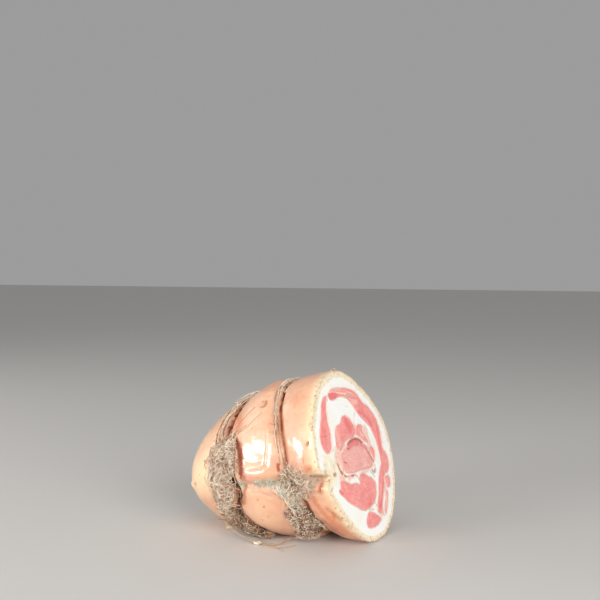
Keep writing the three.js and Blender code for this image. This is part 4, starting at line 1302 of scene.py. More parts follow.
# marks on the lean, in the same way
leanMarks = {
    "dark": [
        (0.4, 0.5, 0.3, [(14, 40), (19, 40.4), (22.6, 38)], [(15.6, -6), (18.4, -6.8)]),
        (0.4, 0.6, 0.1, [(-41, 21.4), (-35, 20.6), (-29, 22)]), (0.4, 0.5, 0.1, [(-9, 18.6), (-4, 17.6)]),
        (0.4, 0.6, 0.3, [(11, 14.4), (15, 12.4)]), (0.6, 0.9, 0.5, [(-17.4, -0.8), (-14.6, -2)]),
        (0.6, 0.9, 0.3, [(-8.8, 7), (-6.4, 6.4)]),
        (0.8, 0.5, 0.0, [(-5, 9.2), (1, 10.2), (8, 9.6), (12, 7.4)]),
    ],
    "grey": [
        (1.4, 0.7, 0.1, [(7, 44), (13, 42), (17, 40.4)]), (1.2, 0.7, 0.1, [(3, 43.2), (9, 41)]),
        (0.6, 0.9, 0.1, [(5, -6.2), (9, -7.8)]),
    ],
    "paler": [
        (1.6, 0.7, 0.0, [(-16, 50), (-8, 50), (0, 49)]), (3.0, 0.7, 0.0, [(14, 37.4), (20, 36.6)]),
        (1.6, 0.5, 0.0, [(40, 2), (42, -12)]), (1.8, 0.6, 0.0, [(30, -29), (26, -36)]),
        (5.0, 0.6, 0.0, [(-19, 22), (-18.4, 12)]), (2.5, 0.5, 0.0, [(-24, -16), (-22, -20)]),
        (1.6, 0.8, 0.0, [(36.6, -37), (31, -45)]),
    ],
    "richer": [
        (3.0, 0.9, 0.0, [(-17, 46), (-10, 45.6)]), (3.0, 0.6, 0.0, [(20, 29), (30, 24), (36, 16)]),
        (2.5, 0.6, 0.0, [(44, 16), (43, 4), (42, -6)]),
        (0.6, 0.9, 0.3, [(41, -21.6), (36, -26), (32, -30.6), (27.6, -36)]),
        (1.8, 0.7, 0.0, [(27, -38), (20, -43)]), (3.5, 0.5, 0.0, [(-36, 16), (-35, 24)]),
        (4.5, 0.8, 0.0, [(-3, 26), (1, 19)]), (1.2, 1.0, 0.3, [(-7, 8.6), (0, 10.2), (6.4, 10), (10, 8.6)]),
        (2.5, 1.0, 0.3, [(-6, 8), (2, 9), (8, 8)]), (1.6, 0.7, 0.1, [(12, 6), (18, 3), (21, -2)]),
        (1.4, 0.9, 0.1, [(-32.6, -17), (-29, -20.4)]), (3.0, 0.5, 0.0, [(12, -31), (6, -36)]),
        (2.5, 0.5, 0.0, [(2, -43.6), (1, -48)]),
    ],
    "white": [
        (0.4, 0.5, 0.1, [(-12, -5), (-2, -5.6), (8, -4.2)], [(-12, -22), (-16, -28)],
         [(10, -20), (13, -28), (10, -35)], [(3, -43), (6, -49)]),
        (0.4, 0.6, 0.1, [(-16, 3), (-6, 3.6), (2, 2.4)], [(0.6, -25), (6, -31)], [(-1.6, -20), (0.6, -25)]),
        (0.4, 0.7, 0.1, [(10, 40.6), (16, 38)], [(10, -9), (18, -9.8)]),
        (0.4, 1.0, 0.1, [(-18.6, 48.8), (-12, 48.3), (-6.4, 47.4), (-2, 46)]),
        (0.6, 0.9, 0.1, [(-4, 46.6), (2, 45.4), (7, 44.6)]), (0.6, 0.7, 0.1, [(8, 46), (14, 44), (18, 41.6)]),
        (0.6, 0.5, 0.1, [(-10, 25), (-9, 19), (-10.4, 13)]),
        (0.8, 0.6, 0.1, [(14, 16.6), (17, 13), (20, 11)]),
    ],
}
# middle of the spiral that a muscle's grain follows, where it isn't the usual one
usualCentre = (4, 0)
flowCentres = {"core_muscle": (3, 2), "lean_lower": (3, 30), "lean_upper": (-4, -30), "lean_bottom": (5, 10)}


def leanOutline(name):
    loop = evenCurve(leans[name], 0.55, closed=True)
    if np.sum(loop[:, 0] * np.roll(loop[:, 1], -1) - np.roll(loop[:, 0], -1) * loop[:, 1]) < 0:
        loop = loop[::-1]
    along = np.roll(loop, -1, axis=0) - np.roll(loop, 1, axis=0)
    away = np.stack([along[:, 1], -along[:, 0]], axis=1) / np.linalg.norm(along, axis=1)[:, None]
    spots = onFlat(loop)
    push = 0.3 * softNoise(spots, 2.8, 5) + 0.16 * softNoise(spots, 1.1, 6) - 0.1
    return loop + away * push[:, None]


outlines = {name: leanOutline(name) for name in leans}


# places of a triangle pattern that fill a box
def hexPlaces(low, high, spacing):
    rows = np.arange(low[1], high[1], spacing * 0.866)
    columns = np.arange(low[0], high[0], spacing)
    spots = [np.c_[columns + (i % 2) * spacing / 2, np.full(len(columns), row)] for i, row in enumerate(rows)]
    return np.concatenate(spots)


def fillOutline(loop, inner, extraLoops=()):
    loops = [loop, *extraLoops]
    flat = [Vector(p) for part in loops for p in part] + [Vector(p) for p in inner]
    edges, first = [], 0
    for part in loops:
        edges += [(first + i, first + (i + 1) % len(part)) for i in range(len(part))]
        first += len(part)
    spots, _, faces, origins, _, _ = delaunay_2d_cdt(flat, edges, [list(range(len(loop)))], 1, 1e-5)
    where = {source: i for i, sources in enumerate(origins) for source in sources}
    return np.array([tuple(p) for p in spots]), [list(face) for face in faces], where


def paintMarks(points, table, kinds):
    marks = {kind: np.zeros(len(points)) for kind in kinds}
    dent = np.zeros(len(points))
    wobble = softNoise(onFlat(points), 1.3, 15)
    for kind, width, strength, dip, *chains in rowsOf(table):
        distance = nearChains(points, chains, 0.6) + 0.3 * width * wobble
        if kind in marks:
            marks[kind] = np.maximum(marks[kind], strength * bell(distance, width))
        dent = np.maximum(dent, dip * bell(distance, width * 0.8))
    return marks, dent


def buildLean(name):
    loop = outlines[name]
    inner = hexPlaces(loop.min(0), loop.max(0), leanBuild["spacing"])
    inner = inner[outlineDistance(inner, loop) > leanBuild["inset"]]
    flat, topFaces, where = fillOutline(loop, inner)
    edge = np.maximum(outlineDistance(flat, loop), 0)
    edge[[where[i] for i in range(len(loop))]] = 0
    marks, dent = paintMarks(flat, leanMarks, ("white", "paler", "richer", "grey", "dark"))
    across, upward = (flat - flowCentres.get(name, usualCentre)).T
    reach = np.hypot(across, upward)
    flow = onFlat(np.stack([np.arctan2(upward, across) * reach.mean(), reach], axis=1))
    fibres = layeredNoise(flow * np.array([0.22, 1.2, 1]), 1.6, 25)
    spots = onFlat(flat)
    height = leanBuild["fibres"] * fibres + leanBuild["swell"] * softNoise(spots, 7, 35)
    height = height - leanBuild["borderDip"] * bell(edge, 0.5) - dent
    height = height + leanBuild["crown"] * ease(edge, 0.4, 2.0)
    points = [cutPoint(flat[:, 0], flat[:, 1], height)]
    faces = list(topFaces)
    ring = [where[i] for i in range(len(loop))]
    first = len(flat)
    for depth in leanBuild["stations"]:
        taper = 1 - leanBuild["taper"] * float(ease(np.float64(depth), 0, 26))
        scale = float(profileRadius(np.float64(depth))) / roll["radius"] * taper
        _, side, up = sectionAxes(np.float64(min(depth / roll["length"], 1)))
        across = (loop[:, 0] - roll["section"][0]) * scale
        upward = (loop[:, 1] - roll["section"][1]) * scale
        points.append(sectionMiddle(np.float64(depth)) + across[:, None] * side + upward[:, None] * up)
        fresh = [first + i for i in range(len(loop))]
        faces += wallFaces(ring, fresh)
        ring, first = fresh, first + len(loop)
    _, backFaces, backWhere = fillOutline(loop, np.zeros((0, 2)))
    backIndex = {found: source for source, found in backWhere.items()}
    faces += [[ring[backIndex[i]] for i in face][::-1] for face in backFaces]
    points = np.concatenate(points)
    extra = len(points) - len(flat)
    marks = {key: np.r_[values, np.zeros(extra)] for key, values in marks.items()}
    marks["border"] = np.r_[ease(1.7 - edge, 0, 1.7), np.zeros(extra)]
    loopFlow = np.tile(flow[[where[i] for i in range(len(loop))]], (len(leanBuild["stations"]), 1))
    loopFlow[:, 2] = np.repeat(leanBuild["stations"], len(loop))
    flow = np.concatenate([flow, loopFlow]) * metre
    material = coreMeat if name == "core_muscle" else leanMeat
    return makeMesh(pieceName(name), points, facesOut(points, faces), material, marks, {"flow": flow})


for name in leans:
    place(buildLean(name), "core" if name == "core_muscle" else "lean", name)
print("lean muscles", len(leans))

cutFat = {"rimPoints": 700, "rimInset": 0.55, "spacing": 0.66, "dip": 2.2, "thickness": 2.9,
          "swell": 0.2, "streaks": 0.1, "jelly": 0.55, "welt": 0.12, "rimDip": 0.12}


def buildFat():
    angle = np.arange(cutFat["rimPoints"]) / cutFat["rimPoints"] * 360
    rim = np.stack(rimPoint(angle, cutFat["rimInset"]), axis=1)
    inner = hexPlaces(rim.min(0), rim.max(0), cutFat["spacing"])
    toRim = outlineDistance(inner, rim)
    keep = toRim > 0.4
    nearest = np.full(len(inner), -9.0)
    for loop in outlines.values():
        nearest = np.maximum(nearest, outlineDistance(inner, loop))
    thinned = (nearest > 1.2) & (np.arange(len(inner)) % 9 > 0)
    keep &= (np.abs(nearest) > 0.3) & ~thinned
    flat, topFaces, where = fillOutline(rim, inner[keep], list(outlines.values()))
    inside = np.full(len(flat), -9.0)
    for loop in outlines.values():
        inside = np.maximum(inside, outlineDistance(flat, loop))
    toRim = np.maximum(outlineDistance(flat, rim), 0)
    marks, dent = paintMarks(flat, cutMarks, ("brown", "red", "dark", "green", "pinkish", "jelly", "web"))
    for kind, atAcross, atUp, halfWidth, halfHeight in rowsOf(cutTints):
        cover = bell(flat[:, 0] - atAcross, halfWidth) * bell(flat[:, 1] - atUp, halfHeight)
        marks[kind] = np.maximum(marks[kind], cover)
    spots = onFlat(flat)
    streaks = layeredNoise(spots * [0.25, 1, 1], 2.4, 14)
    height = cutFat["swell"] * softNoise(spots, 9, 12) + cutFat["streaks"] * streaks - dent
    height = height + marks["jelly"] * (cutFat["jelly"] * layeredNoise(spots, 3.4, 16) - 0.1)
    height = height + cutFat["welt"] * bell(inside + 0.9, 0.8)
    height = np.where(inside > -0.05, -0.22, height)
    height = np.where(inside > 0.12, -cutFat["dip"], height)
    height = height + (-cutFat["rimDip"] - height) * ease(1.3 - toRim, 0, 1.3)
    marks["leanNear"] = bell(np.minimum(inside, 0), 0.85)
    around = np.degrees(np.arctan2(flat[:, 1] - roll["section"][1], flat[:, 0] - roll["section"][0]))
    toRim = toRim + 0.7 * softNoise(spots, 4.4, 18)
    marks["rimNear"] = ease(rindBand(around) - toRim, -1.4, 1.0)
    marks["rimOuter"] = bell(toRim, 0.8)
    points = [cutPoint(flat[:, 0], flat[:, 1], height)]
    under = [len(flat) + i for i in range(len(rim))]
    points.append(cutPoint(rim[:, 0], rim[:, 1], np.full(len(rim), -cutFat["thickness"])))
    faces = topFaces + wallFaces([where[i] for i in range(len(rim))], under)
    middle = len(flat) + len(rim)
    points.append(cutPoint(*[np.array([v]) for v in roll["section"]], np.array([-cutFat["thickness"]])))
    faces += [[middle, under[(i + 1) % len(rim)], under[i]] for i in range(len(rim))]
    points = np.concatenate(points)
    marks = {key: np.r_[values, np.zeros(len(points) - len(flat))] for key, values in marks.items()}
    return makeMesh("cutFat", points, facesOut(points, faces), cutFatMaterial, marks)


fatPiece = place(buildFat(), "rind", "rind_and_fat")
print("cut fat", len(fatPiece.data.polygons), "faces")

# twine strands: ring, distance behind its groove, extra distance at the left wad, first and last angle, tone
twines = {
    "twine_front_strand_1": (frontRing, 2.0, 0.0, -106, 176, 0.5),
    "twine_front_strand_2": (frontRing, 4.1, 0.0, -106, 175, 0.34),
    "twine_back_strand_1": (backRing, 4.0, 0.6, -93, 148, 0.16),
    "twine_back_strand_2": (backRing, 5.8, 1.8, -94, 149, 0.26),
    "twine_back_strand_3": (backRing, 7.4, 3.6, -96, 150, 0.3),
}
twineLook = {"plyRadius": 0.32, "plyOffset": 0.26, "turnsPerMetre": 130.0, "sink": 0.1, "places": 320}
twineHair = {"Density": 10000, "Length": 0.006, "Curl Size": 240, "Curl": 0.005, "Lift": 0.0006,
             "Free End": 0.0035, "Thickness": 0.00016, "Points": 7}


def strandChain(ring, offset, fan, fromAngle, toAngle, seed):
    angle = np.linspace(fromAngle, toAngle, twineLook["places"])
    run = onFlat(np.c_[angle, np.full(len(angle), seed * 9.0)])
    depth = ringDepth(ring, angle) + offset + fan * ease(angle, 60, 140) + 0.55 * softNoise(run, 14, seed)
    lift = twineLook["plyRadius"] + twineLook["plyOffset"] - twineLook["sink"]
    lift = lift + 0.25 * softNoise(run, 9, seed + 1)
    points = rollPoint(depth, angle, bodyRadius(depth, angle) + lift)
    return points, 0.9 + 0.28 * softNoise(run, 7, seed + 2), 0.4 * softNoise(run, 6, seed + 3)


for seed, (name, (ring, offset, fan, fromAngle, toAngle, shade)) in enumerate(twines.items(), 1):
    points, thick, patchy = strandChain(ring, offset, fan, fromAngle, toAngle, seed)
    title = pieceName(name)
    strand = growTwine(
        title, [{"points": points, "thick": thick, "tone": np.clip(shade + patchy, 0, 1)}],
        {**plySizes(twineLook), "Step": 0.0007, "Wander": 0.0011, "Sides": 7})
    place(strand, "twine", name)
    addMarks(strand.data, {"cover": np.ones(len(strand.data.vertices))})
    hair = growFibres(title + "Hair", strand, {**twineHair, "Seed": 20 + seed}, twineMaterial)
    strand.data.attributes.remove(strand.data.attributes["cover"])
    place(hair, "fibre")
print("twine strands", len(twines))

# packed cores of the wads, and the fibres and crumbs that cover them
wadSlit = {
    "path": [(77.2, 182.4), (75, 187), (72.4, 192.5), (72.2, 198), (76, 203), (79.6, 208), (82.3, 216)],
    "deep": 6.0, "width": 3.1,
}
wadLooks = {  # part of the skin, steps, height where fibres start, brown share, trim, fibres, crumbs
    "left": {
        "box": (60, 106, 138, 262), "steps": (88, 156), "reach": 0.8, "deep": 0.35, "trim": 4.5,
        "fibres": {"Density": 520000, "Length": 0.018, "Seed": 3},
        "cover": lambda depth, angle: 0.34 + 0.66 * ease(186 - angle, -6, 12) - 0.3 * ease(angle, 212, 226),
        "crumbs": lambda depth, angle: bell(turnBetween(angle, 203), 12) * bell(depth - 82, 6)},
    "right": {
        "box": (1, 40, 166, 214), "steps": (76, 84), "reach": 0.2, "deep": 0.0, "trim": 0.0,
        "fibres": {"Density": 380000, "Length": 0.006, "Seed": 4},
        "cover": lambda depth, angle: 0.2 + 0.6 * ease(depth, 14, 24),
        "crumbs": lambda depth, angle: 0.25 + 0.5 * bell(depth - 30, 6)},
    "lower": {
        "box": (16, 52, 204, 260), "steps": (70, 96), "reach": 0.2, "deep": 0.8, "trim": 0.0,
        "fibres": {"Density": 520000, "Length": 0.006, "Seed": 5, "Thickness": 0.00018},
        "cover": lambda depth, angle: 0.45 + 0 * depth,
        "crumbs": lambda depth, angle: 0.45 + 0 * depth},
}
wadFibre = {"Curl Size": 185, "Curl": 0.021, "Lift": 0.0015, "Free End": 0.003, "Thickness": 0.00025,
            "Points": 20}
wadCrumb = {"Density": 700000, "Length": 0.0012, "Curl Size": 600, "Curl": 0.0008, "Lift": 0.0004,
            "Free End": 0.0004, "Thickness": 0.0003, "Points": 3}
wadMarks = {  # width, strength, chains of places as depth and angle
    "brown": [
        (2.0, 0.7, [(92, 206), (94, 216), (95, 228)], [(34, 228), (30, 236), (35, 244)]),
        # the next three bands: brown with painted shade on the left wad's tail
        (3.5, 0.8, [(83, 212), (86, 222), (84, 234), (80, 238)]),
        (8.0, 1.0, [(84, 234), (76, 236), (70, 240)]),
        (5.0, 1.0, [(84, 213), (83, 220), (79, 227), (74, 233), (69, 239)]),
        (2.5, 0.5, [(80, 152), (84, 158)]),
        (1.2, 0.5, [(22, 196), (30, 198)]), (1.2, 0.8, [(8.1, 177.4), (6.9, 180.8)]),
        (1.0, 0.8, [(11.8, 189.5), (12.6, 191)]), (2.0, 0.6, [(26, 226), (24, 236)]),
    ],
    "dark": [
        # the first two rows: painted shade on the left wad's tail
        (2.5, 0.6, [(80, 243), (72, 245)]),
        (2.5, 1.0, [(80.6, 213), (80, 220), (76, 226), (71, 232), (67, 238)]),
        (1.0, 0.6, [(90, 198), (92, 207)]),
    ],
    "pale": [
        (1.4, 0.7, [(81, 192.7)], [(30, 228)]), (1.2, 0.8, [(33, 214)], [(36, 224)]),
        (1.8, 0.8, [(80.8, 201.5), (78.3, 198.1)]), (1.6, 0.8, [(84.1, 206.7), (83, 203)]),
        (1.2, 0.6, [(88, 214), (89, 222)]), (7.0, 0.5, [(26, 188), (16, 190)]),
    ],
}


def skinGrid(low, high, first, last, rows, columns):
    return np.meshgrid(np.linspace(low, high, rows), np.linspace(first, last, columns), indexing="ij")


# height of a wad over the bare skin, and the distance to the slit in it
def wadForm(key, depth, angle, ground):
    look = wadLooks[key]
    height = wadHeight(wads[key], depth, angle) * np.where(depth < 12, 0.35 + 0.65 * ease(depth, 3, 11), 1)
    # the left wad is cut back at its right border and at its upper left corner
    height = height - look["trim"] * ease(73.6 - depth, 0, 6) * ease(184 - angle, 0, 5)
    height = height - look["trim"] * ease(depth - 80 - 0.9 * (angle - 146), 0, 6) * ease(166 - angle, 0, 5)
    slit = nearChains(ground, [wadSlit["path"]], 1.0, onRoll)
    return height - wadSlit["deep"] * bell(slit, wadSlit["width"]), slit


def paintWad(look, depth, angle, ground, slit):
    marks = {kind: np.zeros(depth.shape) for kind in ("pale", "brown", "dark")}
    marks["brown"] += look["deep"]
    wobble = softNoise(ground, 2.2, 29)
    for kind, width, strength, *chains in rowsOf(wadMarks):
        distance = nearChains(ground, chains, 1.0, onRoll) + 0.5 * width * wobble
        marks[kind] = np.maximum(marks[kind], strength * bell(distance, width))
    # painted shade: the slit through the wad is darkened and browned
    marks["dark"] = np.maximum(marks["dark"], bell(slit, 1.8))
    marks["brown"] = np.maximum(marks["brown"], 0.8 * bell(slit, 3.4))
    marks["smooth"] = (1 - look["cover"](depth, angle)).clip(0, 1)
    return marks


def buildWad(key):
    look = wadLooks[key]
    rows, columns = look["steps"]
    depth, angle = skinGrid(*look["box"], rows, columns)
    radius = bodyRadius(depth, angle)
    ground = rollPoint(depth, angle, radius)
    height, slit = wadForm(key, depth, angle, ground)
    rough = 1.0 * layeredNoise(ground, 5.5, 17) + 0.7 * layeredNoise(ground, 1.7, 19)
    top = np.where(height > 0, height - 0.5 + rough * np.clip(height, 0, 1.2), -0.9)
    top = np.minimum(top, np.maximum(height, -0.9) + 1.0)
    upper = softGround(rollPoint(depth, angle, radius + top), 0.3)
    lower = softGround(rollPoint(depth, angle, radius - 2.4), 0.1)
    points = np.concatenate([upper.reshape(-1, 3), lower.reshape(-1, 3)])
    count = rows * columns
    faces = gridFaces(rows, columns, False) + gridFaces(rows, columns, False, count, True)
    places = np.arange(count).reshape(rows, columns)
    border = [*places[0], *places[1:, -1], *places[-1, -2::-1], *places[-2:0:-1, 0]]
    for a, b in zip(border, border[1:] + border[:1]):
        faces.append((a, b, b + count, a + count))
    marks = paintWad(look, depth, angle, ground, slit)
    darkest = marks["dark"]
    marks = {kind: np.r_[values.ravel(), np.zeros(count)] for kind, values in marks.items()}
    title = "wad" + key.capitalize()
    core = makeMesh(title, points, facesOut(points, faces), wadCoreMaterial, marks)
    place(core, "fibre", "fibre_wad_" + key)

    uneven = (1 - bell(slit, 2.6)) * (0.5 + 0.7 * layeredNoise(ground, 6, 27))
    hairy = ease(height, look["reach"], look["reach"] + 2.6) * look["cover"](depth, angle) * uneven
    hairy = hairy * (1 - 0.8 * ease(mouldCover(depth, angle), 0.35, 0.9)) * (1 - 0.9 * darkest)
    strewn = ease(height, -0.5, 1.0) * look["crumbs"](depth, angle) * (0.4 + layeredNoise(ground, 3, 33))
    above = softGround(rollPoint(depth, angle, radius + np.maximum(top, 0.05)), 0.3)
    patch = carrierPatch(above, rollPoint(depth[0, 0], angle[0, 0], 0.0), hairy)
    fibres = growFibres(title + "Fibres", patch, {**wadFibre, **look["fibres"]}, fibreMatMaterial)
    patch.data.attributes["cover"].data.foreach_set("value", strewn.clip(0, 1).ravel().astype(np.float32))
    crumbSizes = {**wadCrumb, "Seed": 30 + look["fibres"]["Seed"]}
    crumbs = growFibres(title + "Crumbs", patch, crumbSizes, mouldMaterial)
    bpy.data.objects.remove(patch)
    place(fibres, "fibre", "fibre_wad_" + key)
    place(crumbs, "fibre", "fibre_wad_" + key)
    print("wad", key, len(fibres.data.polygons), len(crumbs.data.polygons), "faces")


for key in wads:
    buildWad(key)


# patch of the rind that carries fluff or stray fibres, and goes again afterwards
def skinPatch(part, steps, cover):
    depth, angle = skinGrid(*part, *steps)
    above = np.zeros(depth.shape)
    for lumps in wads.values():
        above = np.maximum(above, wadHeight(lumps, depth, angle) - 0.4)
    axisPoint = rollPoint(depth[0, 0], angle[0, 0], 0.0)
    return carrierPatch(onSkin(depth, angle, above), axisPoint, cover(depth, angle))


def ringCover(depth, angle):
    near = bell(depth - ringDepth(frontRing, angle) - 3.4, 2.0) * 0.55
    near = near + bell(depth - ringDepth(backRing, angle) - 5.4, 3.6)
    near = ease(near, 0.12, 0.9)
    return np.clip(near, 0, 1) * (0.35 + 0.65 * ease(angle, 40, 110) * ease(188 - angle, 0, 20))


# fibres on a part of the rind: part, steps, material, cover, and how the fibres are
skinFibres = {
    "mouldFluff": (
        (24, 72, 180, 224), (90, 70), mouldMaterial,
        lambda depth, angle: ease(mouldCover(depth, angle), 0.3, 0.9),
        {"Density": 1500000, "Length": 0.0022, "Curl Size": 700, "Curl": 0.002, "Lift": 0.0008,
         "Free End": 0.0014, "Thickness": 0.00016, "Points": 4, "Seed": 9}),
    "tornSkin": (
        (1, 22, 170, 202), (60, 60), fibreMatMaterial,
        lambda depth, angle: 0.9 * bell(depth - 12, 8) * (
            bell(angle - 187, 9) - 0.9 * bell(angle - 184.6, 1.8) * ease(12 - depth, 0, 4)),
        {"Density": 500000, "Length": 0.004, "Curl Size": 420, "Curl": 0.004, "Lift": 0.0005,
         "Free End": 0.001, "Thickness": 0.00014, "Points": 6, "Seed": 14}),
    "tailFibres": (
        (62, 100, 206, 262), (60, 90), twineMaterial,
        lambda depth, angle: ease(wadHeight(wads["left"], depth, angle), 0.6, 2.4) * ease(angle, 212, 224),
        {"Density": 130000, "Length": 0.012, "Curl Size": 150, "Curl": 0.009, "Lift": 0.0009,
         "Free End": 0.002, "Thickness": 0.0002, "Points": 12, "Seed": 16}),
    "ringFibres": (
        (18, 90, -100, 186), (100, 240), twineMaterial, ringCover,
        {"Density": 34000, "Length": 0.008, "Curl Size": 170, "Curl": 0.009, "Lift": 0.0007,
         "Free End": 0.003, "Thickness": 0.00014, "Points": 8, "Seed": 12}),
}
for name, (part, steps, material, cover, sizes) in skinFibres.items():
    patch = skinPatch(part, steps, cover)
    fibres = place(growFibres(name, patch, sizes, material), "fibre")
    bpy.data.objects.remove(patch)
    print(name, len(fibres.data.polygons), "faces")

# single strands that can be told apart: depth, angle and lift of each point, thickness, tone
straySpots = [
    ([(57.5, 144.3, 0.2), (63, 145.2, 0.3), (67.5, 146.8, 0.5), (74, 146.4, 1.6), (80.2, 146, 2.4),
      (85.6, 153.4, 3.6), (86, 158.6, 4.8)], 1.0, 0.15),
    ([(44.2, 136.8, 0.1), (52, 141.6, 0.2), (57.2, 145.8, 0.2), (66, 147, 0.4), (71, 148.3, 1.2),
      (80, 152, 3.0)], 0.9, 0.1),
    ([(56, 143, 0.2), (64, 143.6, 0.3), (72, 145, 1.6), (80, 150, 3.0), (86, 157, 4.4)], 0.9, 0.3),
    ([(53, 130, 0.1), (60, 134, 0.15), (68, 139, 0.8), (76, 144, 2.0)], 0.8, 0.1),
    ([(88, 150, 1.0), (94.9, 158.1, 0.8), (97.5, 162.1, 0.5), (96.5, 168.3, 0.8)], 1.1, 0.2),
    ([(96, 154, 0.4), (101.4, 159.7, 0.6), (103.3, 163.3, 0.6), (101.6, 168.3, 0.6),
      (96.6, 170.3, 1.6)], 1.2, 0.5),
    ([(38.3, 190.5, 0.8), (35.7, 196, 1.6), (34.1, 205, 2.4), (33.6, 212, 2.6)], 1.3, 0.95),
    ([(36.4, 191, 1.0), (34.2, 198, 1.8), (32.4, 208, 2.8)], 1.2, 0.95),
    ([(34.4, 191.6, 0.8), (32.6, 200, 1.6), (30.8, 208, 2.6)], 1.1, 1.0),
    ([(66, 92, 0.6), (72, 84, 3.4), (80, 80, 6.0), (88, 86, 5.6), (88, 96, 2.4), (82, 102, 0.6)], 1.2, 0.6),
    ([(70, 94, 0.8), (76, 86, 3.2), (84, 86, 4.4), (86, 96, 1.2)], 1.0, 0.7),
    ([(92, 168, 2.0), (99, 172, 3.0), (102, 180, 2.4), (98, 187, 2.0), (92, 188, 2.6)], 1.1, 0.6),
    ([(30, 74, 0.8), (31, 73, 3.0), (30, 74, 5.6), (31.6, 76, 7.6)], 0.8, 0.4),
    ([(36, 104, 1.0), (36.6, 110, 1.2), (35, 115.4, 1.0), (31.6, 117.6, 0.8), (30.6, 112, 0.8),
      (32.4, 105, 1.2)], 1.4, 0.8),
    ([(28, 100, 0.6), (31, 92, 1.8), (30, 84, 2.6), (34, 80, 1.6), (38, 84, 0.6)], 1.3, 0.6),
    ([(36, 100, 0.5), (33, 94, 1.4), (36, 86, 2.2), (32, 78, 1.8), (26, 80, 0.6)], 1.2, 0.7),
    ([(77, 104, 1.0), (80, 108, 2.0), (78, 112, 1.6), (76, 108, 2.2), (79, 104, 1.2)], 1.6, 0.7),
    ([(93.4, 210.1, 2.4), (92.1, 217.3, 2.8), (89.9, 228.5, 3.4), (93.1, 242, 2.4)], 1.2, 0.75),
    ([(98, 224, 0.5), (95, 232, 1.8), (97, 240, 1.6), (99, 246, 0.5)], 1.1, 0.6),
    ([(95, 204, 1.6), (94.4, 214, 2.2), (93, 224, 2.6), (90, 236, 3.0)], 1.1, 0.9),
]
strayLook = {"Step": 0.0009, "Ply Radius": 0.00024, "Two Plies": False, "Wander": 0.0008, "Sides": 6,
             "Turns": 80, "Material": fibreMatMaterial}
strays = []
for points, thickness, shade in straySpots:
    line = evenCurve(points, 1.0)
    strays.append({"points": onSkin(line[:, 0], line[:, 1], line[:, 2]), "thick": thickness, "tone": shade})
ringStrays = {  # fibres that run along with the strings, front and back ones in turn
    "count": 46,
    "sides": [  # ring, distance behind its groove, spread, last angle
        (frontRing, 3.2, 2.6, 176), (backRing, 6.0, 3.8, 152)],
}
for seed in range(ringStrays["count"]):
    ring, behind, spread, lastAngle = ringStrays["sides"][seed % 2]
    start = 100 + 78 * float(softNoise(np.array([seed * 3.1, 0.5, 2.2]), 1.0, 7))
    span = 22 + 16 * float(softNoise(np.array([seed * 5.7, 1.5, 0.2]), 1.0, 8))
    angle = np.linspace(start - span, start + span, 40)
    angle = angle[angle < lastAngle]
    if len(angle) < 8:
        continue
    run = onFlat(np.c_[angle, np.full(len(angle), seed * 5.0)])
    depth = ringDepth(ring, angle) + behind + spread * softNoise(run, 21, 40 + seed)
    lift = 0.9 + 0.9 * softNoise(run, 13, 90 + seed)
    shade = 0.5 + 0.5 * float(softNoise(np.array([seed * 7.7, 2.5, 9.2]), 1.0, 9))
    strays.append({"points": onSkin(depth, angle, lift), "thick": 0.75 + 0.4 * shade, "tone": shade})
stray = growTwine("strayFibres", strays, strayLook)
place(stray, "fibre")

# light torn flap of rind that lifts at the top of the rim
flap = {
    "path": [(20, 78, 0.3), (14, 82, 0.9), (8, 87, 1.5), (3, 92, 1.6), (-0.4, 96, 1.3)],
    "half": 1.5, "thick": 0.5,
}
line = evenCurve(flap["path"], 0.8)
share = np.linspace(0, 1, len(line))
half = flap["half"] * np.sin(np.clip(share * 0.94 + 0.04, 0, 1) * math.pi) ** 0.6 + 0.12
flapRows = []
for turn, lift in ((-1, 0.0), (-0.4, 0.55), (0.4, 0.55), (1, 0.0), (0.4, -0.4), (-0.4, -0.4)):
    aside = line[:, 1] + np.degrees(turn * half / 58)
    flapRows.append(onSkin(line[:, 0], aside, line[:, 2] + lift * flap["thick"]))
flapPoints = np.stack(flapRows, axis=1)
last = len(line) * 6 - 1
flapFaces = gridFaces(len(line), 6) + [tuple(range(6)), tuple(range(last, last - 6, -1))]
flapPoints = flapPoints.reshape(-1, 3)
flapMarks = {"cutBand": np.full(len(flapPoints), 1.0)}
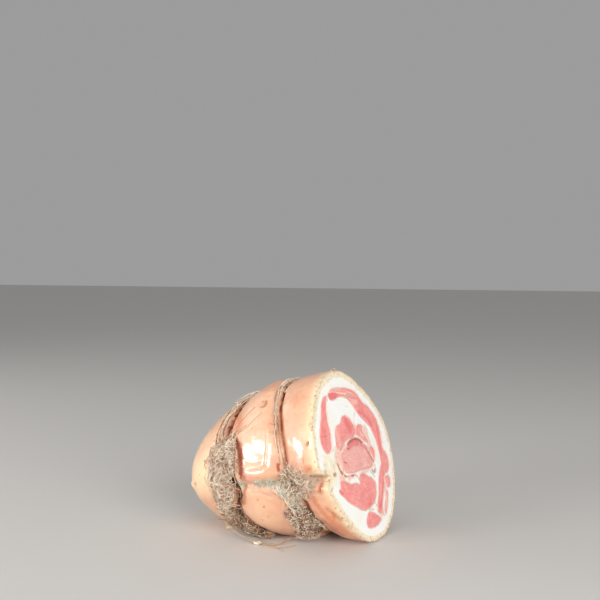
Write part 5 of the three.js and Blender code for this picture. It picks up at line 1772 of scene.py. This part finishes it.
place(makeMesh("rimFlap", flapPoints, facesOut(flapPoints, flapFaces), rindSkinMaterial, flapMarks), "rind")
print("stray fibres", len(strays))

# plain pale floor and soft studio light
studio = {
    "floorTone": tone(214, 211, 206), "floorRoughness": 0.7, "floorReach": 6,
    "worldTone": (0.88, 0.88, 0.89, 1.0),
    "worldStrength": 0.38,
    "lights": [  # name, place, aimed at, width, height, watts
        ("windowSoft", (-0.74, -1.0, 0.26), (-0.02, -0.03, 0.06), 0.52, 0.2, 9.6),
        ("leftSoft", (-1.2, -0.3, 0.4), (-0.06, 0.0, 0.06), 1.1, 1.1, 5.0),
        ("cutSoft", (0.95, -0.78, 0.52), (0.05, 0.0, 0.06), 0.8, 0.8, 12.6),
        ("topSoft", (0.1, 0.3, 1.3), (0.0, 0.0, 0.05), 1.0, 1.0, 0.7),
    ],
}
floorMesh = bpy.data.meshes.new("floor")
reach = studio["floorReach"]
floorMesh.from_pydata(
    [(-reach, -reach, 0), (reach, -reach, 0), (reach, reach, 0), (-reach, reach, 0)], [], [(0, 1, 2, 3)])
floor = addObject("floor", floorMesh)
floorMaterial = bpy.data.materials.new("paleFloor")
floorMaterial.use_nodes = True
feed(floorMaterial.node_tree, floorMaterial.node_tree.nodes["Principled BSDF"], {
    "Base Color": studio["floorTone"], "Roughness": studio["floorRoughness"]})
floorMesh.materials.append(floorMaterial)

for name, spotPlace, aim, width, height, watts in studio["lights"]:
    lamp = bpy.data.lights.new(name, "AREA")
    lamp.shape = "RECTANGLE"
    lamp.size, lamp.size_y, lamp.energy = width, height, watts
    lampObject = addObject(name, lamp)
    lampObject.location = spotPlace
    lampObject.rotation_euler = (Vector(aim) - Vector(spotPlace)).to_track_quat("-Z", "Y").to_euler()

world = bpy.data.worlds.new("studio")
world.use_nodes = True
world.node_tree.nodes["Background"].inputs[0].default_value = studio["worldTone"]
world.node_tree.nodes["Background"].inputs[1].default_value = studio["worldStrength"]
bpy.context.scene.world = world
bpy.context.scene.view_settings.view_transform = "Standard"
print("studio lit")
